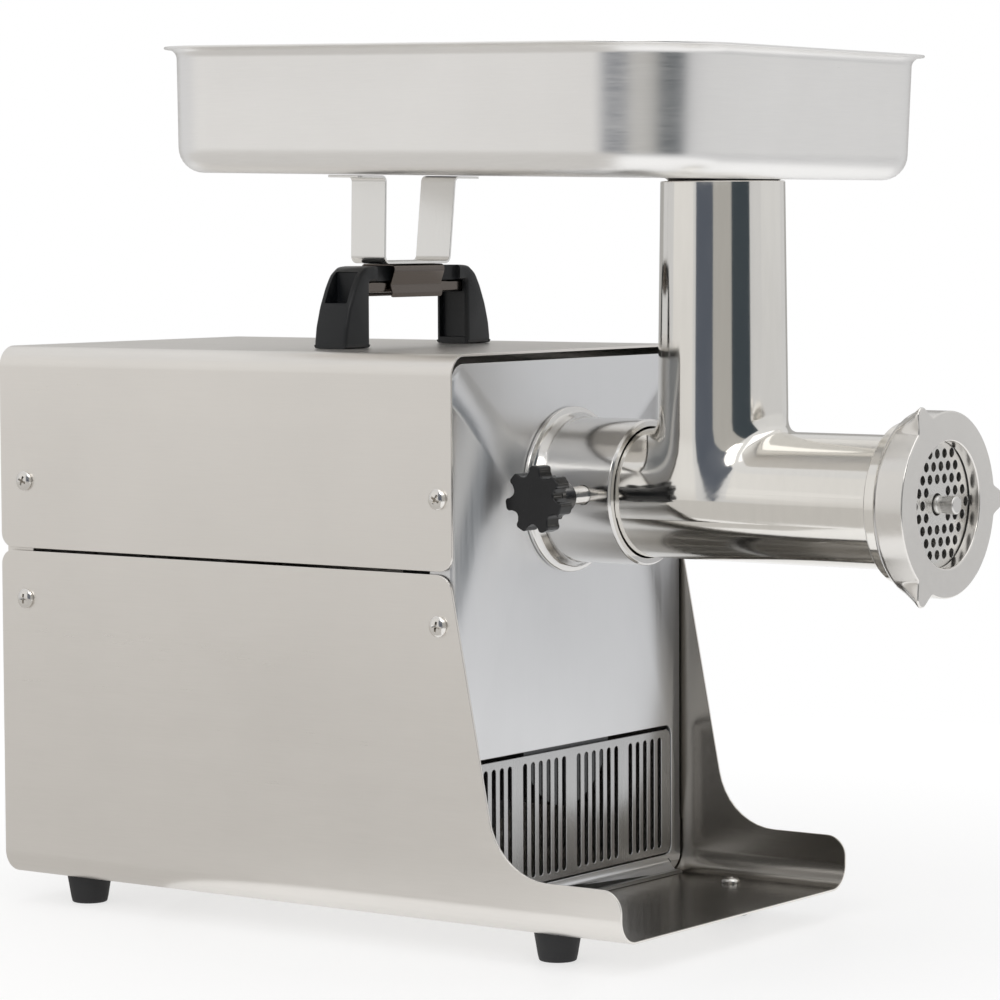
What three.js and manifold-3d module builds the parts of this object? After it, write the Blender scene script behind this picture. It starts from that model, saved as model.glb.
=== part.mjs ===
// Electric meat grinder: sheet-steel body, gear motor, round feed head, food tray.
// Millimetres, +Z up, front of the machine towards -Y, standing on Z = 0.
import * as THREE from 'three';
import { mergeVertices } from 'three/addons/utils/BufferGeometryUtils.js';
import Module from 'manifold-3d';

const wasm = await Module();
wasm.setup();

// ---------------------------------------------------------------- driving dimensions
const SHEET = 1.2;                 // sheet-metal thickness
const GAP = 0.3;                   // clearance between pieces that touch
const HALF_W = 96.7;               // half the body's width
const BODY_LEN = 273.8;            // cover length, from its front edge at Y = 0
const TOP_Z = 273.8;               // top of the cover
const FLOOR_Z = 14;                // underside of the base
const SEAM_LOW = 174.2;            // top edge of the base's sides
const SEAM_HIGH = 175.6;           // bottom edge of the cover's sides
const BASE_BEND = 12;              // outer bend radius, base
const COVER_BEND = 10;             // outer bend radius, cover
const LIP_Y = -91.4;               // front edge of the drip lip
const LIP_Z = 39;                  // height of the lip's sides
const PANEL_Y = 1.5;               // front face of the front panel
const REAR_Y = 272.4;              // rear face of the rear panel
const PANEL_TOP = 269.3;           // top edge of both panels

const AXIS_Z = 207.9;              // feed screw and drive shaft axis
const LAY_Z = 147.9;               // layshaft axis
const MOTOR_Z = 93.9;              // motor axis
const HEAD_R = 30;                 // feed head barrel
const BORE_R = 26;                 // feed head bore
const THROAT_Y = -83.1;            // feed throat axis
const THROAT_R = 28.4;             // feed throat outside, at its mouth
const THROAT_ROOT_R = 29.7;        // and where it meets the barrel
const THROAT_BORE = 25.6;
const THROAT_TOP = 351.3;
const RING_Y = -200.9;             // front face of the ring nut
const RING_R = 41.5;
const STUD_TIP = -205.1;           // foremost point of the machine
const GLAND_TIP = 286.3;           // rearmost point of the machine
const COLLAR_Y = -43.5;            // front edge of the head collar
const COLLAR_R = 34;
const KNOB_Y = -28.3;              // lock knob axis
const KNOB_Z = AXIS_Z;
const KNOB_FACE = -73.3;           // outer face of its star

const SCREW_Y = [7.6, 258];        // side screws, front and rear
const SCREW_Z = { upper: 208.4, lower: 150.8 };
const FOOT_X = 73;
const FOOT_Y = { front: -41, rear: 240 };
const HANDLE_Y = 98.9;             // carrying handle, across the cover
const TRAY_TILT = 1.1 * Math.PI / 180;
const TRAY_Z = 352.4;              // tray underside above the throat

const SECOND = { module: 2.5, pinion: 14, gear: 34, y0: 26, y1: 40 };
const FIRST = { module: 2, pinion: 12, gear: 42, y0: 43.5, y1: 51.5 };

// ---------------------------------------------------------------- solids
function solid(geometry) {
  const bare = geometry.clone();
  bare.deleteAttribute('normal');
  bare.deleteAttribute('uv');
  const merged = mergeVertices(bare, 1e-4);
  const p = merged.attributes.position.array;
  const corners = [];
  let volume = 0;
  for (let i = 0; i < merged.index.count; i += 3) {
    const [a, b, c] = [0, 1, 2].map((k) => merged.index.getX(i + k));
    if (a === b || b === c || a === c) continue;
    corners.push(a, b, c);
    const [va, vb, vc] = [a, b, c].map((k) => new THREE.Vector3(p[3 * k], p[3 * k + 1], p[3 * k + 2]));
    volume += va.dot(vb.cross(vc));
  }
  if (volume < 0) corners.reverse();
  const mesh = new wasm.Mesh({
    numProp: 3, vertProperties: new Float32Array(p), triVerts: new Uint32Array(corners),
  });
  return new wasm.Manifold(mesh);
}

function geometryOf(manifold) {
  const mesh = manifold.getMesh();
  const geometry = new THREE.BufferGeometry();
  geometry.setAttribute('position', new THREE.BufferAttribute(Float32Array.from(mesh.vertProperties), 3));
  geometry.setIndex(Array.from(mesh.triVerts));
  geometry.computeVertexNormals();
  return geometry;
}

const join = (first, ...rest) => rest.reduce((sum, part) => sum.add(part), first);
const cut = (first, ...rest) => rest.reduce((left, part) => left.subtract(part), first);

function block(x0, x1, y0, y1, z0, z1) {
  const box = new THREE.BoxGeometry(x1 - x0, y1 - y0, z1 - z0);
  box.translate((x0 + x1) / 2, (y0 + y1) / 2, (z0 + z1) / 2);
  return solid(box);
}

function extruded(shape, depth, steps) {
  return new THREE.ExtrudeGeometry(shape, { depth, bevelEnabled: false, curveSegments: steps });
}

// A shape drawn in X and Z, standing between two Y planes.
function acrossY(shape, y0, y1, steps = 3) {
  const geometry = extruded(shape, y1 - y0, steps);
  geometry.rotateX(Math.PI / 2);
  geometry.translate(0, y1, 0);
  return solid(geometry);
}

// A shape drawn in Y and Z, standing between two X planes.
function acrossX(shape, x0, x1, steps = 3) {
  const geometry = extruded(shape, x1 - x0, steps);
  geometry.applyMatrix4(new THREE.Matrix4().set(0, 0, 1, 0, 1, 0, 0, 0, 0, 1, 0, 0, 0, 0, 0, 1));
  geometry.translate(x0, 0, 0);
  return solid(geometry);
}

// A shape drawn in X and Y, standing between two Z planes.
function acrossZ(shape, z0, z1, steps = 3) {
  const geometry = extruded(shape, z1 - z0, steps);
  geometry.translate(0, 0, z0);
  return solid(geometry);
}

// Turned pieces: [radius, place along the axis] points.
function lathe(profile, segments) {
  return new THREE.LatheGeometry(profile.map(([r, a]) => new THREE.Vector2(r, a)), segments);
}

function turnedY(profile, z, segments = 24, x = 0) {
  return solid(lathe(profile, segments).translate(x, 0, z));
}

function turnedZ(profile, x, y, segments = 20) {
  return solid(lathe(profile, segments).rotateX(Math.PI / 2).translate(x, y, 0));
}

function turnedX(profile, y, z, segments = 16) {
  return solid(lathe(profile, segments).rotateZ(-Math.PI / 2).translate(0, y, z));
}

const rod = (r, a0, a1) => [[0, a0], [r, a0], [r, a1], [0, a1]];
const ring = (r0, r1, a0, a1) => [[r0, a0], [r1, a0], [r1, a1], [r0, a1], [r0, a0]];

function polygon(points) {
  const shape = new THREE.Shape();
  points.forEach(([x, y], i) => (i ? shape.lineTo(x, y) : shape.moveTo(x, y)));
  shape.closePath();
  return shape;
}

// Rectangle with its own corner radius at the bottom and at the top.
function roundRect(x0, x1, y0, y1, low, high = low) {
  const shape = new THREE.Shape();
  const q = Math.PI / 2;
  shape.moveTo(x0 + low, y0);
  shape.lineTo(x1 - low, y0);
  shape.absarc(x1 - low, y0 + low, low, -q, 0, false);
  shape.lineTo(x1, y1 - high);
  shape.absarc(x1 - high, y1 - high, high, 0, q, false);
  shape.lineTo(x0 + high, y1);
  shape.absarc(x0 + high, y1 - high, high, q, 2 * q, false);
  shape.lineTo(x0, y0 + low);
  shape.absarc(x0 + low, y0 + low, low, 2 * q, 3 * q, false);
  return shape;
}

// Sheet of constant thickness bent along a line of [u, v] points, mitred at the bends.
function bentStrip(points, thickness) {
  const line = points.map(([u, v]) => new THREE.Vector2(u, v));
  const side = (sign) => line.map((p, i) => {
    const a = line[Math.max(i - 1, 0)];
    const b = line[Math.min(i + 1, line.length - 1)];
    const before = p.clone().sub(a).normalize();
    const after = b.clone().sub(p).normalize();
    if (i === 0) before.copy(after);
    if (i === line.length - 1) after.copy(before);
    const n = new THREE.Vector2(-before.y - after.y, before.x + after.x).normalize();
    const reach = (sign * thickness / 2) / Math.max(0.3, n.dot(new THREE.Vector2(-after.y, after.x)));
    return [p.x + n.x * reach, p.y + n.y * reach];
  });
  return polygon([...side(1), ...side(-1).reverse()]);
}

// ---------------------------------------------------------------- finishes
const finish = (color, roughness, metalness) => () =>
  new THREE.MeshStandardMaterial({ color, roughness, metalness });
const brushed = finish(0xc9c5bd, 0.38, 0.95);
const polished = finish(0xb9babb, 0.12, 1);
const castSteel = finish(0xc4c1ba, 0.3, 0.95);
const screwSteel = finish(0xbdbbb4, 0.25, 1);
const blackPlastic = finish(0x17181a, 0.5, 0);
const blackRubber = finish(0x1b1b1c, 0.8, 0);
const castAluminium = finish(0x9b9d9e, 0.55, 0.9);
const gearSteel = finish(0x8d8f92, 0.35, 1);
const lamination = finish(0x6a6c70, 0.5, 0.9);
const copper = finish(0xb56a35, 0.4, 0.9);
const redPlastic = finish(0xa3211c, 0.4, 0);

const machine = new THREE.Group();
machine.position.y = -(STUD_TIP + GLAND_TIP) / 2;

function add(name, manifold, material, parent = machine) {
  const mesh = new THREE.Mesh(geometryOf(manifold), material());
  mesh.name = name;
  parent.add(mesh);
  return mesh;
}

// ---------------------------------------------------------------- body sheets
// U-channel section in X and Z; up = 1 opens upwards, -1 opens downwards.
function channel(closedZ, openZ, bend, up) {
  const q = Math.PI / 2;
  const inner = bend - SHEET;
  const z = closedZ + up * bend;
  const shape = new THREE.Shape();
  shape.moveTo(-HALF_W, openZ);
  shape.lineTo(-HALF_W, z);
  shape.absarc(-HALF_W + bend, z, bend, 2 * q, 2 * q + up * q, up < 0);
  shape.lineTo(HALF_W - bend, closedZ);
  shape.absarc(HALF_W - bend, z, bend, -up * q, 0, up < 0);
  shape.lineTo(HALF_W, openZ);
  shape.lineTo(HALF_W - SHEET, openZ);
  shape.lineTo(HALF_W - SHEET, z);
  shape.absarc(HALF_W - bend, z, inner, 0, -up * q, up > 0);
  shape.lineTo(-HALF_W + bend, closedZ + up * SHEET);
  shape.absarc(-HALF_W + bend, z, inner, 2 * q + up * q, 2 * q, up > 0);
  shape.lineTo(-HALF_W + SHEET, openZ);
  return shape;
}

function screwHoles(level) {
  return SCREW_Y.map((y) => turnedX(rod(2.8, -HALF_W - 5, HALF_W + 5), y, SCREW_Z[level], 8));
}

// The base's side view: tall at the rear, sweeping down in front to the low drip lip.
function baseSideOutline() {
  const q = Math.PI / 2;
  const lean = 10.8 * Math.PI / 180;
  const sweep = 32;
  const sweepY = -51.5;
  const shape = new THREE.Shape();
  shape.moveTo(LIP_Y, FLOOR_Z - 1);
  shape.lineTo(BODY_LEN, FLOOR_Z - 1);
  shape.lineTo(BODY_LEN, SEAM_LOW - 7);
  shape.absarc(BODY_LEN - 7, SEAM_LOW - 7, 7, 0, q, false);
  shape.lineTo(9, SEAM_LOW);
  shape.absarc(9, SEAM_LOW - 9, 9, q, 2 * q - lean, false);
  shape.absarc(sweepY, LIP_Z + sweep, sweep, -lean, -q, true);
  shape.lineTo(LIP_Y + 10, LIP_Z);
  shape.absarc(LIP_Y + 10, LIP_Z - 10, 10, q, 2 * q, false);
  return shape;
}

function baseShell() {
  const tray = acrossY(channel(FLOOR_Z, SEAM_LOW, BASE_BEND, 1), LIP_Y, BODY_LEN);
  const side = acrossX(baseSideOutline(), -HALF_W - 1, HALF_W + 1, 4);
  const bolts = Object.values(FOOT_Y).flatMap((y) =>
    [-FOOT_X, FOOT_X].map((x) => turnedZ(rod(2.6, FLOOR_Z - 2, FLOOR_Z + 4), x, y, 8)));
  return cut(tray.intersect(side), ...bolts, ...screwHoles('lower'));
}

function topCover() {
  const hood = acrossY(channel(TOP_Z, SEAM_HIGH, COVER_BEND, -1), 0, BODY_LEN);
  const side = acrossX(roundRect(0, BODY_LEN, SEAM_HIGH, TOP_Z + 9, 7, 0.1), -HALF_W - 1, HALF_W + 1);
  return cut(hood.intersect(side), ...screwHoles('upper'));
}

// Plate with rounded top corners, bottom corners that follow the base's bend, and side flanges.
function panelBlank(y, flangeY) {
  const half = HALF_W - SHEET - GAP;
  const low = Math.min(y, flangeY);
  const high = Math.max(y, flangeY);
  const face = roundRect(-half, half, FLOOR_Z + SHEET + GAP, PANEL_TOP, BASE_BEND - SHEET - GAP, 9);
  const plate = acrossY(face, y - SHEET / 2, y + SHEET / 2);
  const flanges = [-1, 1].map((s) => {
    const x = [s * half, s * (half - SHEET)].sort((a, b) => a - b);
    return block(x[0], x[1], low, high, 40, 258);
  });
  return cut(join(plate, ...flanges), ...screwHoles('upper'), ...screwHoles('lower'));
}

const VENT = { x: 85, z0: 24.8, z1: 85.6, gapTop: 1.7, gap: 0.7 };

function frontPanel() {
  const edge = BASE_BEND - SHEET - GAP;
  const flat = HALF_W - SHEET - GAP - edge;
  const z = FLOOR_Z + SHEET + GAP;
  const bend = 4.6;
  const toeY = PANEL_Y + SHEET - bend;
  const toe = new THREE.Shape();
  toe.moveTo(PANEL_Y + SHEET, z + bend);
  toe.lineTo(PANEL_Y, z + bend);
  toe.absarc(toeY, z + bend, bend - SHEET, 0, -Math.PI / 2, true);
  toe.lineTo(toeY - 1.3, z + SHEET);
  toe.lineTo(toeY - 1.3, z);
  toe.lineTo(toeY, z);
  toe.absarc(toeY, z + bend, bend, -Math.PI / 2, 0, false);
  const blank = panelBlank(PANEL_Y + SHEET / 2, 16);
  const low = block(-flat, flat, PANEL_Y - 1, PANEL_Y + 3, z - 1, z + bend);
  const vent = roundRect(-VENT.x - VENT.gap, VENT.x + VENT.gap, VENT.z0 - VENT.gap,
    VENT.z1 + VENT.gapTop, 4.5);
  return cut(join(cut(blank, low), acrossX(toe, -flat, flat)),
    acrossY(vent, PANEL_Y - 2, PANEL_Y + 3, 2),
    turnedY(rod(34.3, PANEL_Y - 2, PANEL_Y + 3), AXIS_Z, 32));
}

// Slotted vent plate: four groups of slots, with a rim behind the panel.
function ventGrille() {
  const groups = [5, 6, 6, 5];
  const pitch = 6.35;
  const space = 12.2;
  const span = groups.reduce((sum, n) => sum + (n - 1) * pitch, 0) + (groups.length - 1) * space;
  const face = roundRect(-VENT.x, VENT.x, VENT.z0, VENT.z1, 4);
  const rim = roundRect(-VENT.x - 4, VENT.x + 4, VENT.z0 - 3.4, VENT.z1, 4);
  const back = PANEL_Y + SHEET + GAP;
  const plate = join(acrossY(face, PANEL_Y, back, 2), acrossY(rim, back, back + 1, 2));
  const slots = [];
  const w = 1.6;
  let x = -span / 2;
  groups.forEach((count) => {
    for (let i = 0; i < count; i += 1) {
      const slot = [[x - w, 29], [x, 28], [x + w, 29], [x + w, 81], [x, 82], [x - w, 81]];
      slots.push(acrossY(polygon(slot), PANEL_Y - 1, back + 2));
      x += pitch;
    }
    x += space - pitch;
  });
  return cut(plate, ...slots);
}

const SWITCH = { x: 48, z: 124, w: 22, h: 30 };
const BREAKER = { x: 48, z: 88 };
const GLAND = { x: 48, z: 52 };

function rearPanel() {
  const slots = [];
  for (let column = 0; column < 2; column += 1) {
    for (let row = 0; row < 6; row += 1) {
      const x = -78 + column * 48;
      const z = 60 + row * 13;
      slots.push(block(x, x + 40, REAR_Y - 4, REAR_Y + 2, z, z + 4));
    }
  }
  const window = block(SWITCH.x - 10.3, SWITCH.x + 10.3, REAR_Y - 4, REAR_Y + 2,
    SWITCH.z - 14.3, SWITCH.z + 14.3);
  return cut(panelBlank(REAR_Y - SHEET / 2, 252), window, ...slots,
    turnedY(rod(6.3, REAR_Y - 4, REAR_Y + 2), BREAKER.z, 16, BREAKER.x),
    turnedY(rod(8.3, REAR_Y - 4, REAR_Y + 2), GLAND.z, 16, GLAND.x));
}

// ---------------------------------------------------------------- feet and screws
function foot(x, y) {
  const top = FLOOR_Z - 0.1;
  return turnedZ([[0, 0], [8.4, 0], [8.8, 0.8], [11, top], [2.4, top], [2.4, 5], [0, 5]], x, y, 14);
}

function footScrew(x, y) {
  const seat = FLOOR_Z + SHEET + 0.1;
  return turnedZ([[0, 7], [2, 7], [2, seat], [4.6, seat], [3.4, seat + 2.2], [0, seat + 2.6]], x, y, 8);
}

function sideScrew(side, y, z) {
  const seat = HALF_W + 0.1;
  const profile = [[0, seat - 9], [2.3, seat - 9], [2.3, seat], [4.75, seat], [3.6, seat + 2], [0, seat + 2.5]];
  return turnedX(profile.map(([r, a]) => [r, side * a]), y, z, 8);
}

// ---------------------------------------------------------------- carrying handle
const STRAP = { half: 6, end: 42, z0: 299.8, z1: 305 };

function handleArch() {
  const z = TOP_Z + 0.1;
  const top = 312.5;
  const shape = new THREE.Shape();
  shape.moveTo(-39, z);
  shape.lineTo(-58.4, z);
  shape.bezierCurveTo(-58, 290, -51, top - 0.3, -40, top);
  shape.lineTo(40, top);
  shape.bezierCurveTo(51, top - 0.3, 58, 290, 58.4, z);
  shape.lineTo(39, z);
  shape.lineTo(39, STRAP.z1 + GAP);
  shape.lineTo(-39, STRAP.z1 + GAP);
  const arch = acrossY(shape, HANDLE_Y - 9.5, HANDLE_Y + 9.5, 8);
  const waist = 34;
  const grip = 6.2;
  const cuts = [
    block(-waist, waist, HANDLE_Y - 12, HANDLE_Y - grip, 300, 320),
    block(-waist, waist, HANDLE_Y + grip, HANDLE_Y + 12, 300, 320),
    block(-waist, waist, HANDLE_Y - 12, HANDLE_Y + 12, top - 1.4, 320),
    block(-60, -STRAP.end - 1.5, HANDLE_Y - 6.3, HANDLE_Y + 6.3, 295.4, 309.6),
    block(STRAP.end + 1.5, 60, HANDLE_Y - 6.3, HANDLE_Y + 6.3, 295.4, 309.6),
    block(-STRAP.end - GAP, STRAP.end + GAP, HANDLE_Y - STRAP.half - GAP, HANDLE_Y + STRAP.half + GAP,
      STRAP.z0 - GAP, STRAP.z1 + GAP),
  ];
  return cut(arch, ...cuts);
}

function handleStrap() {
  return block(-STRAP.end, STRAP.end, HANDLE_Y - STRAP.half, HANDLE_Y + STRAP.half, STRAP.z0, STRAP.z1);
}

// ---------------------------------------------------------------- gearbox and motor
function gearboxOutline(offset) {
  const top = 52 + offset;
  const low = 36 + offset;
  const shape = new THREE.Shape();
  shape.moveTo(top, LAY_Z);
  shape.lineTo(top, AXIS_Z);
  shape.absarc(0, AXIS_Z, top, 0, Math.PI, false);
  shape.lineTo(-top, LAY_Z);
  shape.lineTo(-low, MOTOR_Z);
  shape.absarc(0, MOTOR_Z, low, Math.PI, 2 * Math.PI, false);
  return shape;
}

function gearboxHousing() {
  const shell = cut(acrossY(gearboxOutline(0), 4.5, 54, 6), acrossY(gearboxOutline(-4), 9, 55, 6));
  const bosses = join(shell, turnedY(rod(26, 8, 24.5), AXIS_Z, 24), turnedY(rod(15, 8, 14), LAY_Z, 16));
  return cut(bosses, turnedY(rod(21.3, 7, 26), AXIS_Z, 24), turnedY(rod(12.6, 3, 8), AXIS_Z, 24),
    turnedY(rod(11.3, 7, 15), LAY_Z, 16));
}

function gearboxCover() {
  return cut(acrossY(gearboxOutline(0), 54.3, 61.3, 6), turnedY(rod(11.3, 54, 60.2), LAY_Z, 16),
    turnedY(rod(9, 54, 62), MOTOR_Z, 16));
}

function headCollar() {
  const fillet = [[39, 1.2], [39, -0.6], [36, -2.4], [COLLAR_R, -7]];
  const nose = [[COLLAR_R, COLLAR_Y + 2.4], [31.6, COLLAR_Y], [HEAD_R + 0.6, COLLAR_Y]];
  const inside = [[HEAD_R + 0.6, -6], [17.4, -6], [17.4, -1.8], [13, -1.8], [13, 4.2], [33.9, 4.2], [33.9, 1.2]];
  const body = turnedY([...fillet, ...nose, ...inside, fillet[0]], AXIS_Z, 28);
  return cut(body, turnedX(rod(4.7, -40, -25), KNOB_Y, KNOB_Z, 12));
}

function motorBell(outerY, innerY) {
  const s = Math.sign(innerY - outerY);
  const profile = [[14.4, outerY + s], [8, outerY + s], [8, outerY], [58, outerY], [58, innerY],
    [54, innerY], [54, outerY + 4 * s], [20, outerY + 4 * s], [20, outerY + 12 * s],
    [14.4, outerY + 12 * s], [14.4, outerY + s]];
  return turnedY(profile, MOTOR_Z, 20);
}

function winding(y0, y1) {
  return turnedY(ring(37, 51, y0, y1), MOTOR_Z, 16);
}

function motorCradle() {
  const saddle = block(-42, 42, 90, 118, FLOOR_Z + SHEET + GAP, 58);
  return cut(saddle, turnedY(rod(58 + GAP, 80, 128), MOTOR_Z, 28),
    block(-20, 20, 80, 128, FLOOR_Z, 26));
}

function bearing(r0, r1, y0, y1, z) {
  return turnedY(ring(r0, r1, y0, y1), z, 12);
}

// Straight-sided spur gear teeth in X and Z. A tooth, or a gap, is centred on the start angle.
function gearOutline(module_, teeth, centreZ, start, gapFirst) {
  const step = 2 * Math.PI / teeth;
  const pitchR = module_ * teeth / 2;
  const root = pitchR - 1.25 * module_;
  const tip = pitchR + 0.9 * module_;
  const rootHalf = 0.85 * module_ / root;
  const tipHalf = 0.28 * module_ / tip;
  const points = [];
  for (let i = 0; i < teeth; i += 1) {
    const a = start + (i + (gapFirst ? 0.5 : 0)) * step;
    [[root, -rootHalf], [tip, -tipHalf], [tip, tipHalf], [root, rootHalf]].forEach(([r, da]) =>
      points.push([r * Math.cos(a + da), centreZ + r * Math.sin(a + da)]));
  }
  return polygon(points);
}

function outputGear() {
  const { module: m, gear, y0, y1 } = SECOND;
  return cut(acrossY(gearOutline(m, gear, AXIS_Z, -Math.PI / 2, false), y0, y1),
    turnedY(rod(10.2, y0 - 1, y1 + 1), AXIS_Z, 20));
}

function driveShaft() {
  const shaft = turnedY([[0, -7.4], [12, -7.4], [12, 5.5], [10, 5.5], [10, 41.5], [0, 41.5]], AXIS_Z, 20);
  return cut(shaft, block(-6.4, 6.4, -11, 6, AXIS_Z - 6.4, AXIS_Z + 6.4));
}

function layshaft() {
  const bar = turnedY(rod(6, 7.5, 59.5), LAY_Z, 16);
  const pinion = acrossY(gearOutline(SECOND.module, SECOND.pinion, LAY_Z, Math.PI / 2, true),
    SECOND.y0, SECOND.y1);
  const wheel = acrossY(gearOutline(FIRST.module, FIRST.gear, LAY_Z, -Math.PI / 2, false),
    FIRST.y0, FIRST.y1);
  return join(bar, pinion, wheel, turnedY(rod(10, SECOND.y1 - 1, FIRST.y0 + 1), LAY_Z, 16));
}

function motorShaft() {
  const bar = turnedY(rod(5.8, 42.5, 163), MOTOR_Z, 16);
  const pinion = acrossY(gearOutline(FIRST.module, FIRST.pinion, MOTOR_Z, Math.PI / 2, true),
    FIRST.y0, FIRST.y1);
  return join(bar, pinion);
}

function coolingFan() {
  const hub = turnedY(ring(6.1, 11, 149, 161), MOTOR_Z, 12);
  const plate = turnedY(ring(6.1, 44, 149, 150.5), MOTOR_Z, 18);
  const blades = [];
  for (let i = 0; i < 6; i += 1) {
    const blade = new THREE.BoxGeometry(34, 11, 1.6);
    blade.translate(27, 0, 0);
    blade.rotateY(i * 2 * Math.PI / 6);
    blade.translate(0, 155.2, MOTOR_Z);
    blades.push(solid(blade));
  }
  return join(hub, plate, ...blades);
}

// ---------------------------------------------------------------- feed head
function headCasing() {
  const rimY = -194;
  const shoulderY = -178;
  const seatY = -188.6;
  const barrel = turnedY([[0, -8], [HEAD_R - 1, -8], [HEAD_R, -9], [HEAD_R, shoulderY], [36.2, shoulderY],
    [36.2, rimY], [0, rimY]], AXIS_Z, 30);
  const throat = turnedZ([[0, AXIS_Z], [THROAT_ROOT_R, AXIS_Z], [THROAT_ROOT_R, AXIS_Z + 38],
    [THROAT_R, THROAT_TOP], [0, THROAT_TOP]], 0, THROAT_Y, 30);
  const bore = turnedY([[0, -6], [11, -6], [11, -12], [BORE_R, -12], [BORE_R, seatY], [31.3, seatY],
    [31.3, rimY - 2], [0, rimY - 2]], AXIS_Z, 30);
  const drop = turnedZ(rod(THROAT_BORE, AXIS_Z, THROAT_TOP + 2), 0, THROAT_Y, 30);
  return cut(join(barrel, throat), bore, drop);
}

// Feed screw: tapered core, one helical flight, drive tang behind and stud in front.
function auger() {
  const core = turnedY([[0, -22], [10.4, -22], [10.4, -7.8], [0, -7.8]], AXIS_Z, 12);
  const stem = turnedY([[0, -180.5], [12.5, -180.5], [9, -60], [9, -20], [0, -20]], AXIS_Z, 12);
  const tang = block(-6, 6, -8, 4.5, AXIS_Z - 6, AXIS_Z + 6);
  const square = block(-4, 4, -188.9, -180, AXIS_Z - 4, AXIS_Z + 4);
  const stud = turnedY([[0, STUD_TIP], [3.4, STUD_TIP], [4.2, STUD_TIP + 0.8], [4.2, -188], [0, -188]],
    AXIS_Z, 12);
  const turns = 3.75;
  const helix = new THREE.Curve();
  helix.getPoint = (t) => new THREE.Vector3(17 * Math.cos(turns * 2 * Math.PI * t), -177 + 156 * t,
    17 * Math.sin(turns * 2 * Math.PI * t));
  const radial = new THREE.Vector3();
  const flight = new THREE.BufferGeometry();
  const count = 45;
  const vertices = [];
  for (let i = 0; i <= count; i += 1) {
    const centre = helix.getPoint(i / count);
    radial.set(centre.x, 0, centre.z).normalize();
    [[7, -3.2], [25.2, -1.4], [25.2, 1.4], [7, 3.2]].forEach(([r, dy]) =>
      vertices.push(radial.x * r, centre.y + dy, radial.z * r + AXIS_Z));
  }
  const faces = [0, 1, 2, 0, 2, 3];
  for (let i = 0; i < count; i += 1) {
    for (let k = 0; k < 4; k += 1) {
      const [a, b] = [4 * i + k, 4 * i + (k + 1) % 4];
      faces.push(a, a + 4, b, b, a + 4, b + 4);
    }
  }
  const end = 4 * count;
  faces.push(end, end + 2, end + 1, end, end + 3, end + 2);
  flight.setAttribute('position', new THREE.Float32BufferAttribute(vertices, 3));
  flight.setIndex(faces);
  return join(core, stem, tang, square, stud, solid(flight));
}

function cutterKnife() {
  const hub = turnedY(rod(9, -188.4, -182), AXIS_Z, 16);
  const arms = [0, 1].map((i) => {
    const arm = new THREE.BoxGeometry(50, 6.4, 9);
    arm.rotateY(i * Math.PI / 2);
    return solid(arm.translate(0, -185.2, AXIS_Z));
  });
  return cut(join(hub, ...arms), block(-4.3, 4.3, -190, -180, AXIS_Z - 4.3, AXIS_Z + 4.3),
    turnedY(rod(12.8, -181.99, -179), AXIS_Z, 16));
}

// Round perforated plate: holes on a triangular grid, plain around the centre.
function grindingPlate() {
  const pitch = 6.45;
  const rowStep = pitch * Math.sqrt(3) / 2;
  const edge = [];
  for (let i = 0; i < 30; i += 1) {
    edge.push([31 * Math.cos(i * Math.PI / 15), 31 * Math.sin(i * Math.PI / 15)]);
  }
  const face = polygon(edge);
  for (let row = -4; row <= 4; row += 1) {
    for (let column = -5; column <= 5; column += 1) {
      const x = (column + (row % 2 ? 0.5 : 0)) * pitch;
      const z = row * rowStep;
      const r = Math.hypot(x, z);
      if (r < pitch * 1.2 || r > 26.6) continue;
      const hole = new THREE.Path();
      hole.absarc(x, z, 2.2, 0, 2 * Math.PI, true);
      face.holes.push(hole);
    }
  }
  const disc = extruded(face, 6, 3);
  disc.rotateX(Math.PI / 2);
  disc.translate(0, -189, AXIS_Z);
  return cut(solid(disc), turnedY(rod(5, -200, -180), AXIS_Z, 16));
}

// One thumb lug of the ring nut, pointing along +X.
function ringLug() {
  const shape = new THREE.Shape();
  shape.moveTo(36, -8);
  shape.lineTo(40.6, -7.5);
  shape.quadraticCurveTo(43, -5.2, 46.6, -3.4);
  shape.absarc(46.6, 0, 3.4, -1.2, 1.2, false);
  shape.quadraticCurveTo(43, 5.2, 40.6, 7.5);
  shape.lineTo(36, 8);
  return shape;
}

function ringNut() {
  const body = turnedY([[28.1, RING_Y], [RING_R - 0.8, RING_Y], [RING_R, RING_Y + 0.8],
    [RING_R, -187.5], [39.4, -185], [36.6, -185], [36.6, -195.4], [28.1, -195.4], [28.1, RING_Y]],
    AXIS_Z, 36);
  const lugs = [0, 1, 2].map((i) => {
    const lug = extruded(ringLug(), 8, 3);
    lug.rotateX(Math.PI / 2);
    lug.rotateY(-i * 2 * Math.PI / 3);
    return solid(lug.translate(0, RING_Y + 8, AXIS_Z));
  });
  const clear = turnedY(rod(36.6, -195.4, -180), AXIS_Z, 36);
  return cut(join(body, ...lugs), clear);
}

// Star knob with seven lobes, conical hub and moulded-in stud, on the X axis.
function lockKnob() {
  const face = KNOB_FACE;
  const points = [];
  const lobes = 7;
  for (let i = 0; i < lobes; i += 1) {
    const a = (i + 1.8) * 2 * Math.PI / lobes;
    [[10.6, -0.34], [15.4, -0.17], [15.4, 0.17], [10.6, 0.34]].forEach(([r, da]) =>
      points.push([KNOB_Y + r * Math.cos(a + da), KNOB_Z + r * Math.sin(a + da)]));
  }
  const star = acrossX(polygon(points), face, face + 10);
  const hub = turnedX([[0, face + 5], [11, face + 5], [11, face + 10.5], [6.2, face + 24.9], [0, face + 24.9]],
    KNOB_Y, KNOB_Z, 12);
  const stud = turnedX([[0, face + 24], [4.1, face + 24], [4.1, -32.4], [3.4, -31.2], [0, -31.2]],
    KNOB_Y, KNOB_Z, 12);
  return join(star, hub, stud);
}

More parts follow.
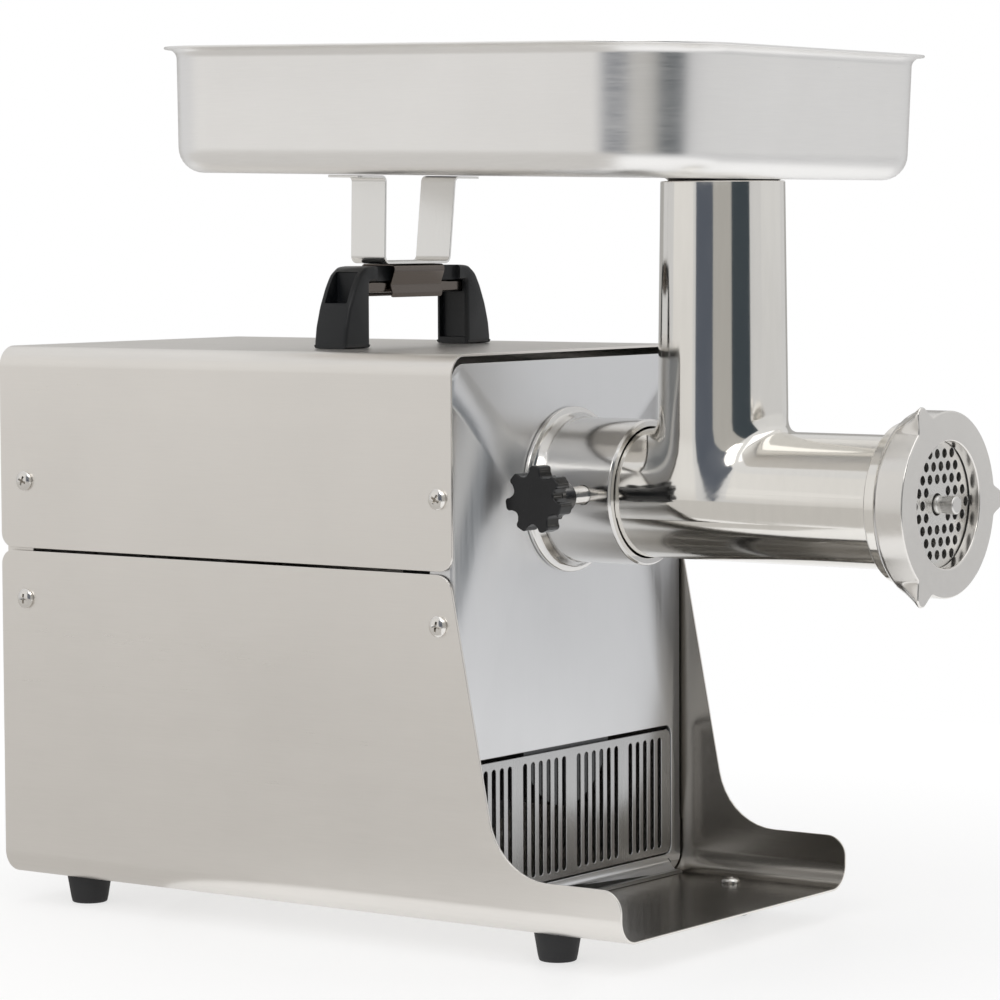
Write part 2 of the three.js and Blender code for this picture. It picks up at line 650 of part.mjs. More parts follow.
// ---------------------------------------------------------------- tray, in its own tilted frame
const tray = new THREE.Group();
tray.position.set(0, THROAT_Y, TRAY_Z);
tray.rotation.x = TRAY_TILT;
machine.add(tray);

const TRAY = { half: 117, front: -48.1, rear: 248.3, corner: 42, bend: 12, rim: 6, height: 58.3 };

function trayBlock(inset, floor, top) {
  const { half, front, rear, corner, bend } = TRAY;
  const roll = bend - inset;
  const plan = roundRect(-half + bend, half - bend, front + bend, rear - bend, corner - bend);
  const geometry = new THREE.ExtrudeGeometry(plan, {
    depth: top, bevelEnabled: true, bevelThickness: roll, bevelSize: roll, bevelSegments: 3, curveSegments: 4,
  });
  geometry.translate(0, 0, floor + roll);
  return solid(geometry);
}

function trayPan() {
  const { half, front, rear, corner, rim, height } = TRAY;
  const wide = half + rim;
  const outer = join(trayBlock(0, 0, 90),
    acrossZ(roundRect(-wide, wide, front - rim, rear + rim, corner + rim), height - 1.2, height, 4));
  const lid = acrossZ(roundRect(-wide - 5, wide + 5, front - 20, rear + 20, 3), height, 200, 2);
  const spout = turnedZ(rod(24.4, -24, 1), 0, 0, 24);
  const hole = turnedZ(rod(23.2, -30, 5), 0, 0, 24);
  return cut(join(outer, spout), lid, trayBlock(1, 1, 90), hole);
}

const BRACKET = { y0: 170.9, y1: 191.3, base: -41.7 };

function trayBracket() {
  const top = -0.3 - SHEET / 2;
  const line = [[-48, top], [-28, top], [-28, BRACKET.base], [23.5, BRACKET.base], [27.5, top], [48, top]];
  return acrossY(bentStrip(line, SHEET), BRACKET.y0, BRACKET.y1);
}

// Spring clip under the bracket: two leaves that close in on the handle's strap.
function trayClip() {
  const mid = (BRACKET.y0 + BRACKET.y1) / 2;
  const top = BRACKET.base - SHEET / 2 - 0.2 - 0.45;
  const leaf = [[9.4, top], [9.7, -45.5], [7.3, -52.4], [8.5, -56], [8, -58.2]];
  const line = [...leaf.map(([y, z]) => [mid - y, z]).reverse(), ...leaf.map(([y, z]) => [mid + y, z])];
  return acrossX(bentStrip(line, 0.9), -20.5, 19.5);
}

// ---------------------------------------------------------------- controls on the rear panel
function switchBody() {
  const { x, z, w, h } = SWITCH;
  const bezel = block(x - w / 2, x + w / 2, REAR_Y + 0.1, REAR_Y + 2.6, z - h / 2, z + h / 2);
  const body = block(x - 10, x + 10, REAR_Y - 24, REAR_Y + 1, z - 14, z + 14);
  return cut(join(bezel, body), block(x - 8, x + 8, REAR_Y - 8, REAR_Y + 5, z - 12, z + 12));
}

// Rocker: a shallow V in side view, tipping about a pin along X.
function switchRocker() {
  const { x, z } = SWITCH;
  const y = REAR_Y;
  const side = polygon([[y - 5, z - 4], [y + 1.2, z - 10.4], [y + 3.4, z - 10.4], [y + 2.2, z],
    [y + 5.2, z + 10.4], [y + 1.6, z + 10.6], [y - 5, z + 4]]);
  return acrossX(side, x - 7.6, x + 7.6);
}

function breakerBody() {
  return turnedY([[4.2, REAR_Y - 15], [6, REAR_Y - 15], [6, REAR_Y + 0.1], [8.5, REAR_Y + 0.1],
    [8.5, REAR_Y + 1.6], [5.6, REAR_Y + 3], [4.2, REAR_Y + 3], [4.2, REAR_Y - 15]], BREAKER.z, 12, BREAKER.x);
}

function breakerButton() {
  return turnedY([[0, REAR_Y - 8], [3.8, REAR_Y - 8], [3.8, REAR_Y + 5.6], [3, REAR_Y + 6.4],
    [0, REAR_Y + 6.4]], BREAKER.z, 12, BREAKER.x);
}

function cordGland() {
  const y = REAR_Y;
  return turnedY([[4.2, y - 9], [8, y - 9], [8, y + 0.1], [12, y + 0.1], [12, y + 4.5], [10.5, y + 5],
    [10.5, y + 9], [7.6, GLAND_TIP], [4.2, GLAND_TIP], [4.2, y - 9]], GLAND.z, 12, GLAND.x);
}

function runCapacitor() {
  return turnedY([[0, 180], [19, 180], [19, 238], [17, 240], [6, 240], [6, 245], [0, 245]],
    FLOOR_Z + SHEET + GAP + 19.2, 24, 60);
}

// ---------------------------------------------------------------- assembly
add('base_shell', baseShell(), brushed);
add('top_cover', topCover(), brushed);
add('front_panel', frontPanel(), polished);
add('vent_grille', ventGrille(), brushed);
add('rear_panel', rearPanel(), brushed);

[['left', -1], ['right', 1]].forEach(([side, s]) => {
  Object.entries(FOOT_Y).forEach(([end, y]) => {
    add(`foot_${end}_${side}`, foot(s * FOOT_X, y), blackRubber);
    add(`foot_screw_${end}_${side}`, footScrew(s * FOOT_X, y), screwSteel);
  });
  ['front', 'rear'].forEach((end, i) => {
    Object.entries(SCREW_Z).forEach(([level, z]) => {
      add(`side_screw_${level}_${end}_${side}`, sideScrew(s, SCREW_Y[i], z), screwSteel);
    });
  });
});

add('handle_arch', handleArch(), blackPlastic);
add('handle_strap', handleStrap(), screwSteel);

add('head_collar', headCollar(), polished);
add('shaft_seal', turnedY(ring(12.4, 17.1, -5.9, -2.1), AXIS_Z, 20), blackRubber);
add('gearbox_housing', gearboxHousing(), castAluminium);
add('gearbox_cover', gearboxCover(), castAluminium);
add('output_bearing_front', bearing(10.4, 20.9, 7.3, 15.5, AXIS_Z), gearSteel);
add('output_bearing_rear', bearing(10.4, 20.9, 15.9, 24.1, AXIS_Z), gearSteel);
add('layshaft_bearing_front', bearing(6.4, 10.9, 7.3, 13.7, LAY_Z), gearSteel);
add('layshaft_bearing_rear', bearing(6.4, 10.9, 54.6, 60, LAY_Z), gearSteel);
add('motor_front_bell', motorBell(61.6, 79.7), castAluminium);
add('motor_rear_bell', motorBell(146, 128.3), castAluminium);
add('motor_bearing_front', bearing(6.2, 13.9, 63, 73, MOTOR_Z), gearSteel);
add('motor_bearing_rear', bearing(6.2, 13.9, 134.6, 144.6, MOTOR_Z), gearSteel);
add('motor_stator', turnedY(ring(33.5, 58, 80, 128), MOTOR_Z, 28), lamination);
add('motor_winding_front', winding(67.5, 79.6), copper);
add('motor_winding_rear', winding(128.4, 140.5), copper);
add('motor_cradle', motorCradle(), castAluminium);
add('run_capacitor', runCapacitor(), blackPlastic);

add('head_casing', headCasing(), polished);
add('grinding_plate', grindingPlate(), castSteel);
add('ring_nut', ringNut(), castSteel);
add('lock_knob', lockKnob(), blackPlastic);

add('drive_shaft', driveShaft(), gearSteel);
add('output_gear', outputGear(), gearSteel);
add('auger', auger(), castSteel);
add('cutter_knife', cutterKnife(), castSteel);
add('layshaft', layshaft(), gearSteel);
add('motor_shaft', motorShaft(), gearSteel);
add('rotor_core', turnedY(ring(6.1, 32.7, 80, 128), MOTOR_Z, 24), lamination);
add('cooling_fan', coolingFan(), blackPlastic);

add('tray_pan', trayPan(), brushed, tray);
add('tray_bracket', trayBracket(), brushed, tray);
add('tray_clip', trayClip(), screwSteel, tray);

add('switch_body', switchBody(), blackPlastic);
add('switch_rocker', switchRocker(), blackPlastic);
add('breaker_body', breakerBody(), blackPlastic);
add('breaker_button', breakerButton(), redPlastic);
add('cord_gland', cordGland(), blackPlastic);

export default machine;
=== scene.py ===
import math

import bpy
import numpy as np
from mathutils import Euler, Matrix, Vector
from mathutils.geometry import delaunay_2d_cdt
from mathutils.kdtree import KDTree

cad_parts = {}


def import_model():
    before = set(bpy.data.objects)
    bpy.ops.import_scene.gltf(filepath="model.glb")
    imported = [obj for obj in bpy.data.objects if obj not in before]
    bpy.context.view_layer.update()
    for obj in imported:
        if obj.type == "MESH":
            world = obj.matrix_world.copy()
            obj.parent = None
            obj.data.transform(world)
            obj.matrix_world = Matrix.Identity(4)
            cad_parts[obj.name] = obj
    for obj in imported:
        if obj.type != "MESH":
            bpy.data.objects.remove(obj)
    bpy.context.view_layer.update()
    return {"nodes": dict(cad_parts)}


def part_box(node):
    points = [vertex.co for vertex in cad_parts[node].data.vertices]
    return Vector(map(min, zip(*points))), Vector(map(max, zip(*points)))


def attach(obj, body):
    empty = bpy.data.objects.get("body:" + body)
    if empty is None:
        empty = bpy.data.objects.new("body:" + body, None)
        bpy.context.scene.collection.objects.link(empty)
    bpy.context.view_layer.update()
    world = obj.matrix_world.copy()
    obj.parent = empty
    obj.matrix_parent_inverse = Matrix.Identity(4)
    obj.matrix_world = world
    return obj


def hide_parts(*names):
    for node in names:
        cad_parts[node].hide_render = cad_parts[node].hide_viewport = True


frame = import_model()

# Electric meat grinder. Shapes are worked out in millimetres in the frame's axes and stored in metres.
MM = 0.001


def box_mm(node):
    low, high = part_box(node)
    return low / MM, high / MM


# ---------------------------------------------------------------- sizes taken from the frame
COVER_LOW, COVER_HIGH = box_mm("top_cover")
BASE_LOW, BASE_HIGH = box_mm("base_shell")
FRONT = COVER_LOW.y                    # cover's front edge; every Y below is counted from it


def middle(node, axis):
    low, high = box_mm(node)
    return (low[axis] + high[axis]) / 2 - (FRONT if axis == 1 else 0)


BODY_LEN = COVER_HIGH.y - FRONT
HALF_W = COVER_HIGH.x
TOP_Z = COVER_HIGH.z
FLOOR_Z = BASE_LOW.z
SEAM_LOW = BASE_HIGH.z
SEAM_HIGH = COVER_LOW.z
LIP_Y = BASE_LOW.y - FRONT
AXIS_Z = middle("output_bearing_front", 2)
SHEET = 1.2
PANEL_Y = 1.5
HEAD_R = 30.0
BORE_R = 26.0
THROAT_Y = -83.1
THROAT_R = 28.4
THROAT_BORE = 25.6
THROAT_ROOT = 29.8                     # the throat's radius where it meets the barrel
THROAT_TOP = box_mm("head_casing")[1].z
COLLAR_R = 34.0
COLLAR_Y = box_mm("head_collar")[0].y - FRONT
RING_Y = box_mm("ring_nut")[0].y - FRONT
RING_R = 41.5
HANDLE_Y = middle("handle_strap", 1)
KNOB_Y, KNOB_Z = middle("lock_knob", 1), middle("lock_knob", 2)
PANEL_TOP = box_mm("front_panel")[1].z
STUD_TIP = box_mm("auger")[0].y - FRONT
KNOB_FACE = box_mm("lock_knob")[0].x
REAR_Y = box_mm("rear_panel")[1].y - FRONT
SCREW_Y = [middle(f"side_screw_upper_{end}_left", 1) for end in ("front", "rear")]
SCREW_HIGH_Z = middle("side_screw_upper_front_left", 2)
SCREW_LOW_Z = middle("side_screw_lower_front_left", 2)
FOOT_Y = [middle(f"foot_{end}_left", 1) for end in ("front", "rear")]
FOOT_X = middle("foot_front_right", 0)
SWITCH_X, SWITCH_Z = middle("switch_body", 0), middle("switch_body", 2)
BREAKER_Z = middle("breaker_body", 2)
GLAND_Z = middle("cord_gland", 2)
VENT_X, VENT_LOW, VENT_HIGH = 85.0, 24.8, 85.6
TRAY_TILT = math.radians(1.1)
TRAY_Z = 352.4


# ---------------------------------------------------------------- outlines
def right(d):
    return Vector((d.y, -d.x))


def turn_by(v, angle):
    c, s = math.cos(angle), math.sin(angle)
    return Vector((c * v.x - s * v.y, s * v.x + c * v.y))


def path(corners, closed=True, fineness=6):
    """Segments (point, normal, point, normal) of straight runs and arcs. A corner is (u, v) or
    (u, v, radius). Normals stand to the right of the way round."""
    points = [Vector(c[:2]) for c in corners]
    radii = [c[2] if len(c) > 2 else 0.0 for c in corners]
    count = len(points)
    stops = []
    for i, p in enumerate(points):
        stops.append([(p, None)])
        if radii[i] == 0 or (not closed and i in (0, count - 1)):
            continue
        a = (p - points[i - 1]).normalized()
        b = (points[(i + 1) % count] - p).normalized()
        turn = math.atan2(a.x * b.y - a.y * b.x, a.dot(b))
        if abs(turn) < 1e-4:
            continue
        side = math.copysign(1, turn)
        start = p - a * radii[i] * math.tan(abs(turn) / 2)
        centre = start - right(a) * radii[i] * side
        steps = max(2, math.ceil(abs(turn) / (math.pi / 2) * fineness))
        spokes = [turn_by(start - centre, turn * k / steps) for k in range(steps + 1)]
        stops[i] = [(centre + s, s.normalized() * side) for s in spokes]
    segments = []
    for i, stop in enumerate(stops):
        segments += [(p0, n0, p1, n1) for (p0, n0), (p1, n1) in zip(stop, stop[1:])]
        if closed or i < count - 1:
            p0, p1 = stop[-1][0], stops[(i + 1) % count][0][0]
            if (p1 - p0).length > 1e-4:
                n = right((p1 - p0).normalized())
                segments.append((p0, n, p1, n))
    return segments


def circle(u, v, r, count=20):
    spokes = [turn_by(Vector((r, 0)), 2 * math.pi * k / count) for k in range(count + 1)]
    centre = Vector((u, v))
    return [(centre + a, a / r, centre + b, b / r) for a, b in zip(spokes, spokes[1:])]


def round_rect(u0, u1, v0, v1, radius, fineness=6):
    return path([(u0, v0, radius), (u1, v0, radius), (u1, v1, radius), (u0, v1, radius)], fineness=fineness)


def block(u, v, half_u, half_v, radius):
    return round_rect(u - half_u, u + half_u, v - half_v, v + half_v, radius)


def mirrored(corners):
    """The same corners with u turned round, in the order that carries on the outline."""
    return [(-u, v, r) for u, v, r in reversed(corners)]


def polar(r, a, z=0.0):
    return Vector((r * math.cos(a), r * math.sin(a), z))


def round_angles(count):
    return [2 * math.pi * k / count for k in range(count)]


def flipped(segments):
    """The same line with its normals on the other side."""
    return [(a, -m, b, -n) for a, m, b, n in segments]


def facing(segments, outer):
    """The loop with its normals pointing out of the material: away from an outer loop, into a hole."""
    centre = segments[0][0]
    flux = sum(((p0 + p1) / 2 - centre).dot(n0 + n1) * (p1 - p0).length for p0, n0, p1, n1 in segments)
    return segments if (flux > 0) == outer else flipped(segments)


def split(segments, axis, value, inset):
    """Segments cut where the loop, moved into the material by inset, crosses a line."""
    out = []
    for p0, n0, p1, n1 in segments:
        q0 = (p0 - n0 * inset)[axis] - value
        q1 = (p1 - n1 * inset)[axis] - value
        if q0 * q1 < 0 and min(abs(q0), abs(q1)) > 1e-4:
            t = q0 / (q0 - q1)
            p, n = p0.lerp(p1, t), n0.lerp(n1, t).normalized()
            out += [(p0, n0, p, n), (p, n, p1, n1)]
        else:
            out.append((p0, n0, p1, n1))
    return out


def triangles(loops, cuts=(), extra=()):
    """Triangles inside loops of (u, v) points. A cut is (axis, value); extra lines only shape the mesh."""
    coords, edges = [], []
    for loop in [*loops, *extra]:
        base = len(coords)
        coords += [(p[0], p[1]) for p in loop]
        edges += [(base + i, base + (i + 1) % len(loop)) for i in range(len(loop))]
    bounds = [(np.array(loop, float), np.roll(np.array(loop, float), -1, axis=0)) for loop in loops]
    rim = sum(len(loop) for loop in loops)
    for axis, value in cuts:
        on = sorted((c[1 - axis], i) for i, c in enumerate(coords[:rim]) if abs(c[axis] - value) < 2e-4)
        if len(on) == 3:
            on.insert(1, on[1])
        edges += [(a[1], b[1]) for a, b in zip(on[::2], on[1::2])]
    made = delaunay_2d_cdt([Vector(c) for c in coords], edges, [], 0, 1e-5)
    points = [tuple(p) for p in made[0]]
    centres = np.array([np.mean([points[i] for i in f], axis=0) for f in made[2]])
    inside = np.zeros(len(centres), bool)
    for a, b in bounds:
        for (x0, y0), (x1, y1) in zip(a, b):
            if y0 == y1:
                continue
            spans = (centres[:, 1] < y0) != (centres[:, 1] < y1)
            inside ^= spans & (centres[:, 0] < x0 + (centres[:, 1] - y0) / (y1 - y0) * (x1 - x0))
    return points, [f for f, keep in zip(made[2], inside) if keep]


# ---------------------------------------------------------------- skins
class Skin:
    """Faces that carry the true normal at each corner, welded into one mesh."""

    def __init__(self):
        self.points, self.faces, self.normals = [], [], []

    def face(self, points, normals):
        kept = [i for i, p in enumerate(points) if (p - points[i - 1]).length > 2e-3]
        if len(kept) < 3:
            return
        points, normals = [points[i] for i in kept], [normals[i] for i in kept]
        area = sum(((p - points[0]).cross(q - points[0]) for p, q in zip(points[1:], points[2:])), Vector())
        if area.dot(sum(normals, Vector())) < 0:
            points.reverse()
            normals.reverse()
        first = len(self.points)
        self.points += points
        self.normals += normals
        self.faces.append(list(range(first, first + len(points))))

    def patch(self, corners):
        """A face given as (point, normal) corners."""
        self.face([p for p, _ in corners], [n for _, n in corners])

    def mesh(self, name):
        tree = KDTree(len(self.points))
        for i, p in enumerate(self.points):
            tree.insert(p, i)
        tree.balance()
        owner, places = [-1] * len(self.points), []
        for i, p in enumerate(self.points):
            if owner[i] < 0:
                for _, j, _ in tree.find_range(p, 3e-3):
                    if owner[j] < 0:
                        owner[j] = len(places)
                places.append(p * MM)
        faces, normals = [], []
        for f in self.faces:
            ids = [owner[i] for i in f]
            kept = [k for k in range(len(f)) if ids[k] != ids[k - 1]]
            if len({ids[k] for k in kept}) > 2:
                faces.append([ids[k] for k in kept])
                normals += [self.normals[f[k]].normalized() for k in kept]
        mesh = bpy.data.meshes.new(name)
        mesh.from_pydata(places, [], faces)
        mesh.polygons.foreach_set("use_smooth", [True] * len(faces))
        mesh.normals_split_custom_set(normals)
        return mesh


def across_x(x):
    return lambda u, v: (Vector((x, FRONT + u, v)), Vector((0, 1, 0)), Vector((0, 0, 1)), Vector((1, 0, 0)))


def across_y(y):
    return lambda u, v: (Vector((u, FRONT + y, v)), Vector((1, 0, 0)), Vector((0, 0, 1)), Vector((0, 1, 0)))


class Bend:
    """Sheet bent along a line: (u, v) is (way along the line, way along the straight axis)."""

    def __init__(self, segments, plane, along, axis):
        self.plane, self.along, self.axis = plane, along, axis
        self.runs, u = [], 0.0
        for p0, n0, p1, n1 in segments:
            length = (p1 - p0).length
            self.runs.append((u, u + length, p0, n0, p1, n1))
            u += length
        self.length = u
        self.cuts = [(0, run[0]) for run in self.runs[1:]]

    def __call__(self, u, v):
        for u0, u1, p0, n0, p1, n1 in self.runs:
            if u <= u1 + 1e-6:
                break
        t = (u - u0) / (u1 - u0)
        n = n0.lerp(n1, min(max(t, 0), 1)).normalized()
        tangent = Vector((-n.y, n.x))
        return self.plane(p0.lerp(p1, t)) + self.along(v), self.plane(tangent), self.axis, self.plane(n)


def bent_xz(segments):
    """Sheet bent along a line in X and Z, straight along Y."""
    return Bend(segments, lambda p: Vector((p.x, 0, p.y)), lambda v: Vector((0, FRONT + v, 0)),
                Vector((0, 1, 0)))


def slab(skin, loops, w0, w1, edge, place, cuts=(), fineness=2):
    """A plate between two offsets from a surface, with rounded edges. The first loop is the outline,
    the rest are holes."""
    loops = [facing(loop, i == 0) for i, loop in enumerate(loops)]
    for axis, value in cuts:
        loops = [split(loop, axis, value, edge) for loop in loops]
    rows = []
    for level, sign in ((w1 - edge, 1), (w0 + edge, -1)):
        arc = []
        for k in range(fineness + 1):
            out, up = math.cos(math.pi / 2 * k / fineness), math.sin(math.pi / 2 * k / fineness)
            arc.append((edge * (1 - out), level + sign * edge * up, out, sign * up))
        rows += arc[::-1] if sign > 0 else arc

    def corner(p, n, row):
        inset, w, out, up = row
        q = p - n * inset
        origin, du, dv, dw = place(q.x, q.y)
        return origin + dw * w, du * n.x * out + dv * n.y * out + dw * up

    for loop in loops:
        for p0, n0, p1, n1 in loop:
            for a, b in zip(rows, rows[1:]):
                skin.patch([corner(p0, n0, a), corner(p1, n1, a), corner(p1, n1, b), corner(p0, n0, b)])
    inner = [[tuple(p0 - n0 * edge) for p0, n0, _, _ in loop] for loop in loops]
    points, faces = triangles(inner, cuts)
    for w, sign in ((w1, 1), (w0, -1)):
        spots = [place(*p) for p in points]
        for f in faces:
            skin.face([spots[i][0] + spots[i][3] * w for i in f], [spots[i][3] * sign for i in f])


def turned(skin, segments, origin, axis, count=48, first=None, whole=True, angles=None):
    """Turns (radius, place along the axis) segments round an axis. whole means that they close on it."""
    axis = Vector(axis).normalized()
    first = Vector(first) if first else axis.orthogonal().normalized()
    second = axis.cross(first)
    angles = angles or round_angles(count)
    spokes = [first * math.cos(a) + second * math.sin(a) for a in angles]
    origin = Vector(origin) + Vector((0, FRONT, 0))
    if whole:
        loop = [*(s[0] for s in segments), segments[-1][2]]
        if sum(a.x * b.y - b.x * a.y for a, b in zip(loop, loop[1:] + loop[:1])) < 0:
            segments = flipped(segments)
    for p0, n0, p1, n1 in segments:
        for s, t in zip(spokes, spokes[1:] + spokes[:1]):
            four = [(p0, n0, s), (p1, n1, s), (p1, n1, t), (p0, n0, t)]
            skin.patch([(origin + axis * p.y + r * p.x, r * n.x + axis * n.y) for p, n, r in four])


def ring_points(origin, axis, first, radius, along, angles):
    axis, first = Vector(axis), Vector(first)
    centre = Vector(origin) + Vector((0, FRONT, 0)) + axis * along
    second = axis.cross(first)
    return [centre + (first * math.cos(a) + second * math.sin(a)) * radius for a in angles]


def flat_face(skin, loops, normal):
    """A flat face between loops of points in one plane, the outline first."""
    normal = Vector(normal)
    du = normal.orthogonal().normalized()
    dv = normal.cross(du)
    origin = loops[0][0]
    flat = [[((p - origin).dot(du), (p - origin).dot(dv)) for p in loop] for loop in loops]
    points, faces = triangles(flat)
    for f in faces:
        skin.face([origin + du * points[i][0] + dv * points[i][1] for i in f], [normal] * 3)


def rim_angles(rims):
    """Angles round the feed axis, from +Z towards +X, that pass through every rim point."""
    angles, spans = set(), []
    for rim in rims:
        found = [math.atan2(p.x, p.z) for p in rim]
        spans.append((min(found), max(found)))
        angles.update(round(a, 7) for a in found)
    for k in range(-180, 180, 5):
        a = math.radians(k)
        if not any(low - 0.01 < a < high + 0.01 for low, high in spans):
            angles.add(a)
    return sorted(angles)


def tube_patch(skin, radius, y0, y1, rims, inward=False, around=(), shape=None):
    """Wall of a tube round the feed axis, with holes whose rims are lists of points about that axis.
    around holds wider rims that only make the mesh finer; shape moves a point and gives its normal."""
    sign = -1 if inward else 1
    angles = rim_angles(rims)
    ends = [radius * a for a in angles] + [math.pi * radius]
    outline = [(u, y0) for u in ends] + [(u, y1) for u in reversed(ends)]
    holes = [[(radius * round(math.atan2(p.x, p.z), 7), p.y) for p in rim] for rim in rims]
    wider = [[(p[0] + n[0] * gap, p[1] + n[1] * gap) for p, n in zip(holes[0], outward(holes[0]))]
             for gap in around]
    points, faces = triangles([outline, *holes], [(0, u) for u in ends[1:-1]], wider)
    spots = []
    for u, y in points:
        out = Vector((math.sin(u / radius), 0, math.cos(u / radius)))
        spot = Vector((0, FRONT + y, AXIS_Z)) + out * radius
        spots.append(shape(spot) if shape else (spot, out * sign))
    for f in faces:
        skin.patch([spots[i] for i in f])
    return angles


def outward(loop):
    """The way out at each point of a loop of (u, v) points that lies evenly about u = 0."""
    middle_y = sum(p[1] for p in loop) / len(loop)
    ways = []
    for i, p in enumerate(loop):
        before, after = loop[i - 1], loop[(i + 1) % len(loop)]
        n = Vector((after[1] - before[1], before[0] - after[0])).normalized()
        ways.append(n if n.dot(Vector((p[0], p[1] - middle_y))) > 0 else -n)
    return ways


def about_feed(skin, corners, angles):
    """Turns (radius, Y) corners round the feed axis at the given angles, counted from +Z towards +X."""
    turned(skin, path(corners, closed=False), (0, 0, AXIS_Z), (0, 1, 0), first=(0, 0, 1), whole=False,
           angles=angles)


def feed_face(skin, y, outer, inner, way):
    """A flat ring across the feed axis between two circles, each given as (radius, angles)."""
    rims = [ring_points((0, 0, AXIS_Z), (0, 1, 0), (0, 0, 1), r, y, angles) for r, angles in (outer, inner)]
    flat_face(skin, rims, (0, way, 0))


def add_object(name, data):
    obj = bpy.data.objects.new(name, data)
    bpy.context.scene.collection.objects.link(obj)
    return obj


def piece(name, skin, finish, body, replaces=()):
    """One finished piece that rides on a body and stands for CAD nodes."""
    obj = add_object(name, skin.mesh(name))
    obj.data.materials.append(finish)
    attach(obj, body)
    if replaces:
        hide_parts(*replaces)
    return obj


def second_finish(obj, finish, chosen):
    """Gives another finish to the faces picked by chosen(centre in mm, normal)."""
    obj.data.materials.append(finish)
    for face in obj.data.polygons:
        if chosen(face.center / MM, face.normal):
            face.material_index = 1


# ---------------------------------------------------------------- materials
class Nodes:
    """A material's node tree, written as calls."""

    def __init__(self, name):
        self.material = bpy.data.materials.new(name)
        self.material.use_nodes = True
        self.tree = self.material.node_tree
        self.shader = self.tree.nodes["Principled BSDF"]
        self.place = self.add("ShaderNodeTexCoord").outputs["Object"]

    def add(self, kind, inputs=None, **settings):
        node = self.tree.nodes.new(kind)
        for key, value in settings.items():
            setattr(node, key, value)
        for key, value in (inputs or {}).items():
            if isinstance(value, bpy.types.NodeSocket):
                self.tree.links.new(value, node.inputs[key])
            else:
                node.inputs[key].default_value = value
        return node

    def noise(self, scale, detail=3.0, rough=0.5):
        """Noise over the object, stretched by an (x, y, z) scale per metre."""
        mapping = self.add("ShaderNodeMapping", {"Vector": self.place, "Scale": scale})
        node = self.add("ShaderNodeTexNoise", {"Vector": mapping.outputs[0], "Scale": 1.0, "Detail": detail,
                                               "Roughness": rough})
        return node.outputs["Fac"]

    def span(self, value, low, high, start=0.3, end=0.7):
        node = self.add("ShaderNodeMapRange", {"Value": value, "From Min": start, "From Max": end,
                                               "To Min": low, "To Max": high})
        return node.outputs["Result"]

    def math(self, operation, a, b):
        return self.add("ShaderNodeMath", {0: a, 1: b}, operation=operation).outputs[0]

    def mix(self, factor, a, b):
        node = self.add("ShaderNodeMix", {"Factor": factor, "A": a, "B": b}, data_type="RGBA")
        return node.outputs["Result"]

    def colours(self, factor, dark, light):
        return self.mix(factor, (*dark, 1), (*light, 1))

    def bump(self, height, strength, distance, under=None):
        inputs = {"Height": height, "Strength": strength, "Distance": distance}
        if under:
            inputs["Normal"] = under
        return self.add("ShaderNodeBump", inputs).outputs["Normal"]

    def finish(self, **sockets):
        for key, value in sockets.items():
            name = key.replace("_", " ")
            if isinstance(value, bpy.types.NodeSocket):
                self.tree.links.new(value, self.shader.inputs[name])
            else:
                self.shader.inputs[name].default_value = value
        return self.material


def edges_of(nodes):
    """1 on sharp outer edges: where wear shows on steel, and where plastic and rubber get a painted
    highlight.
    """
    point = nodes.add("ShaderNodeNewGeometry").outputs["Pointiness"]
    return nodes.span(point, 0.0, 1.0, 0.5, 0.56)


def steel(name, colour, rough, grain, depth=0.25, mottle=0.06, waves=0.0):
    """Stainless steel: a fine grain along one way, soft blotches and a little hand-made waviness."""
    n = Nodes(name)
    lines = n.noise(grain, detail=4, rough=0.6)
    blotch = n.noise((9, 9, 9), detail=4, rough=0.6)
    soft = n.noise(tuple(g * 0.05 for g in grain), detail=2)
    dark = tuple(c * (1 - mottle) for c in colour)
    light = tuple(min(1, c * (1 + mottle * 0.5)) for c in colour)
    tint = n.colours(n.span(blotch, 0, 1), dark, light)
    streak = n.colours(n.span(lines, 0, 1, 0.35, 0.65), tuple(c * 0.97 for c in colour), light)
    fine = n.span(lines, rough * 0.86, rough * 1.1)
    roughness = n.math("ADD", fine, n.span(soft, -rough * 0.06, rough * 0.1))
    normal = n.bump(lines, depth, 0.00006)
    if waves:
        normal = n.bump(n.noise((14, 14, 14), detail=1), waves, 0.002, normal)
    base = n.mix(0.35, tint, streak)
    wear_and_sheen = n.mix(n.math("MULTIPLY", edges_of(n), 0.5), base, (*[min(1, c * 1.12) for c in colour], 1))
    return n.finish(Base_Color=wear_and_sheen, Metallic=1.0, Roughness=roughness, Normal=normal)


def plastic(name, colour, rough, grain=2600, depth=0.18):
    """Moulded plastic or rubber: leather-fine grain, and sharp edges made lighter as a painted highlight."""
    n = Nodes(name)
    fine = n.noise((grain, grain, grain), detail=2)
    broad = n.noise((30, 30, 30), detail=3)
    light = tuple(c * 1.35 + 0.004 for c in colour)
    base = n.colours(n.span(broad, 0, 1), colour, light)
    # Sharp edges lighter in colour: painted highlight.
    wear_and_sheen = n.mix(n.math("MULTIPLY", edges_of(n), 0.12), base, (*[c + 0.12 for c in colour], 1))
    roughness = n.math("ADD", n.span(fine, rough - 0.05, rough + 0.05), n.span(broad, -0.05, 0.05))
    return n.finish(Base_Color=wear_and_sheen, Roughness=roughness, Normal=n.bump(fine, depth, 0.00008),
                    Specular_IOR_Level=0.32)


def casting(name, colour, rough):
    """Cast metal: pebbled skin with darker pits."""
    n = Nodes(name)
    pebbles = n.add("ShaderNodeTexVoronoi", {"Vector": n.place, "Scale": 700.0}).outputs["Distance"]
    broad = n.noise((20, 20, 20), detail=4)
    base = n.colours(n.span(broad, 0, 1), tuple(c * 0.8 for c in colour), colour)
    return n.finish(Base_Color=base, Metallic=1.0, Roughness=n.span(broad, rough - 0.08, rough + 0.08),
                    Normal=n.bump(pebbles, 0.3, 0.0002))


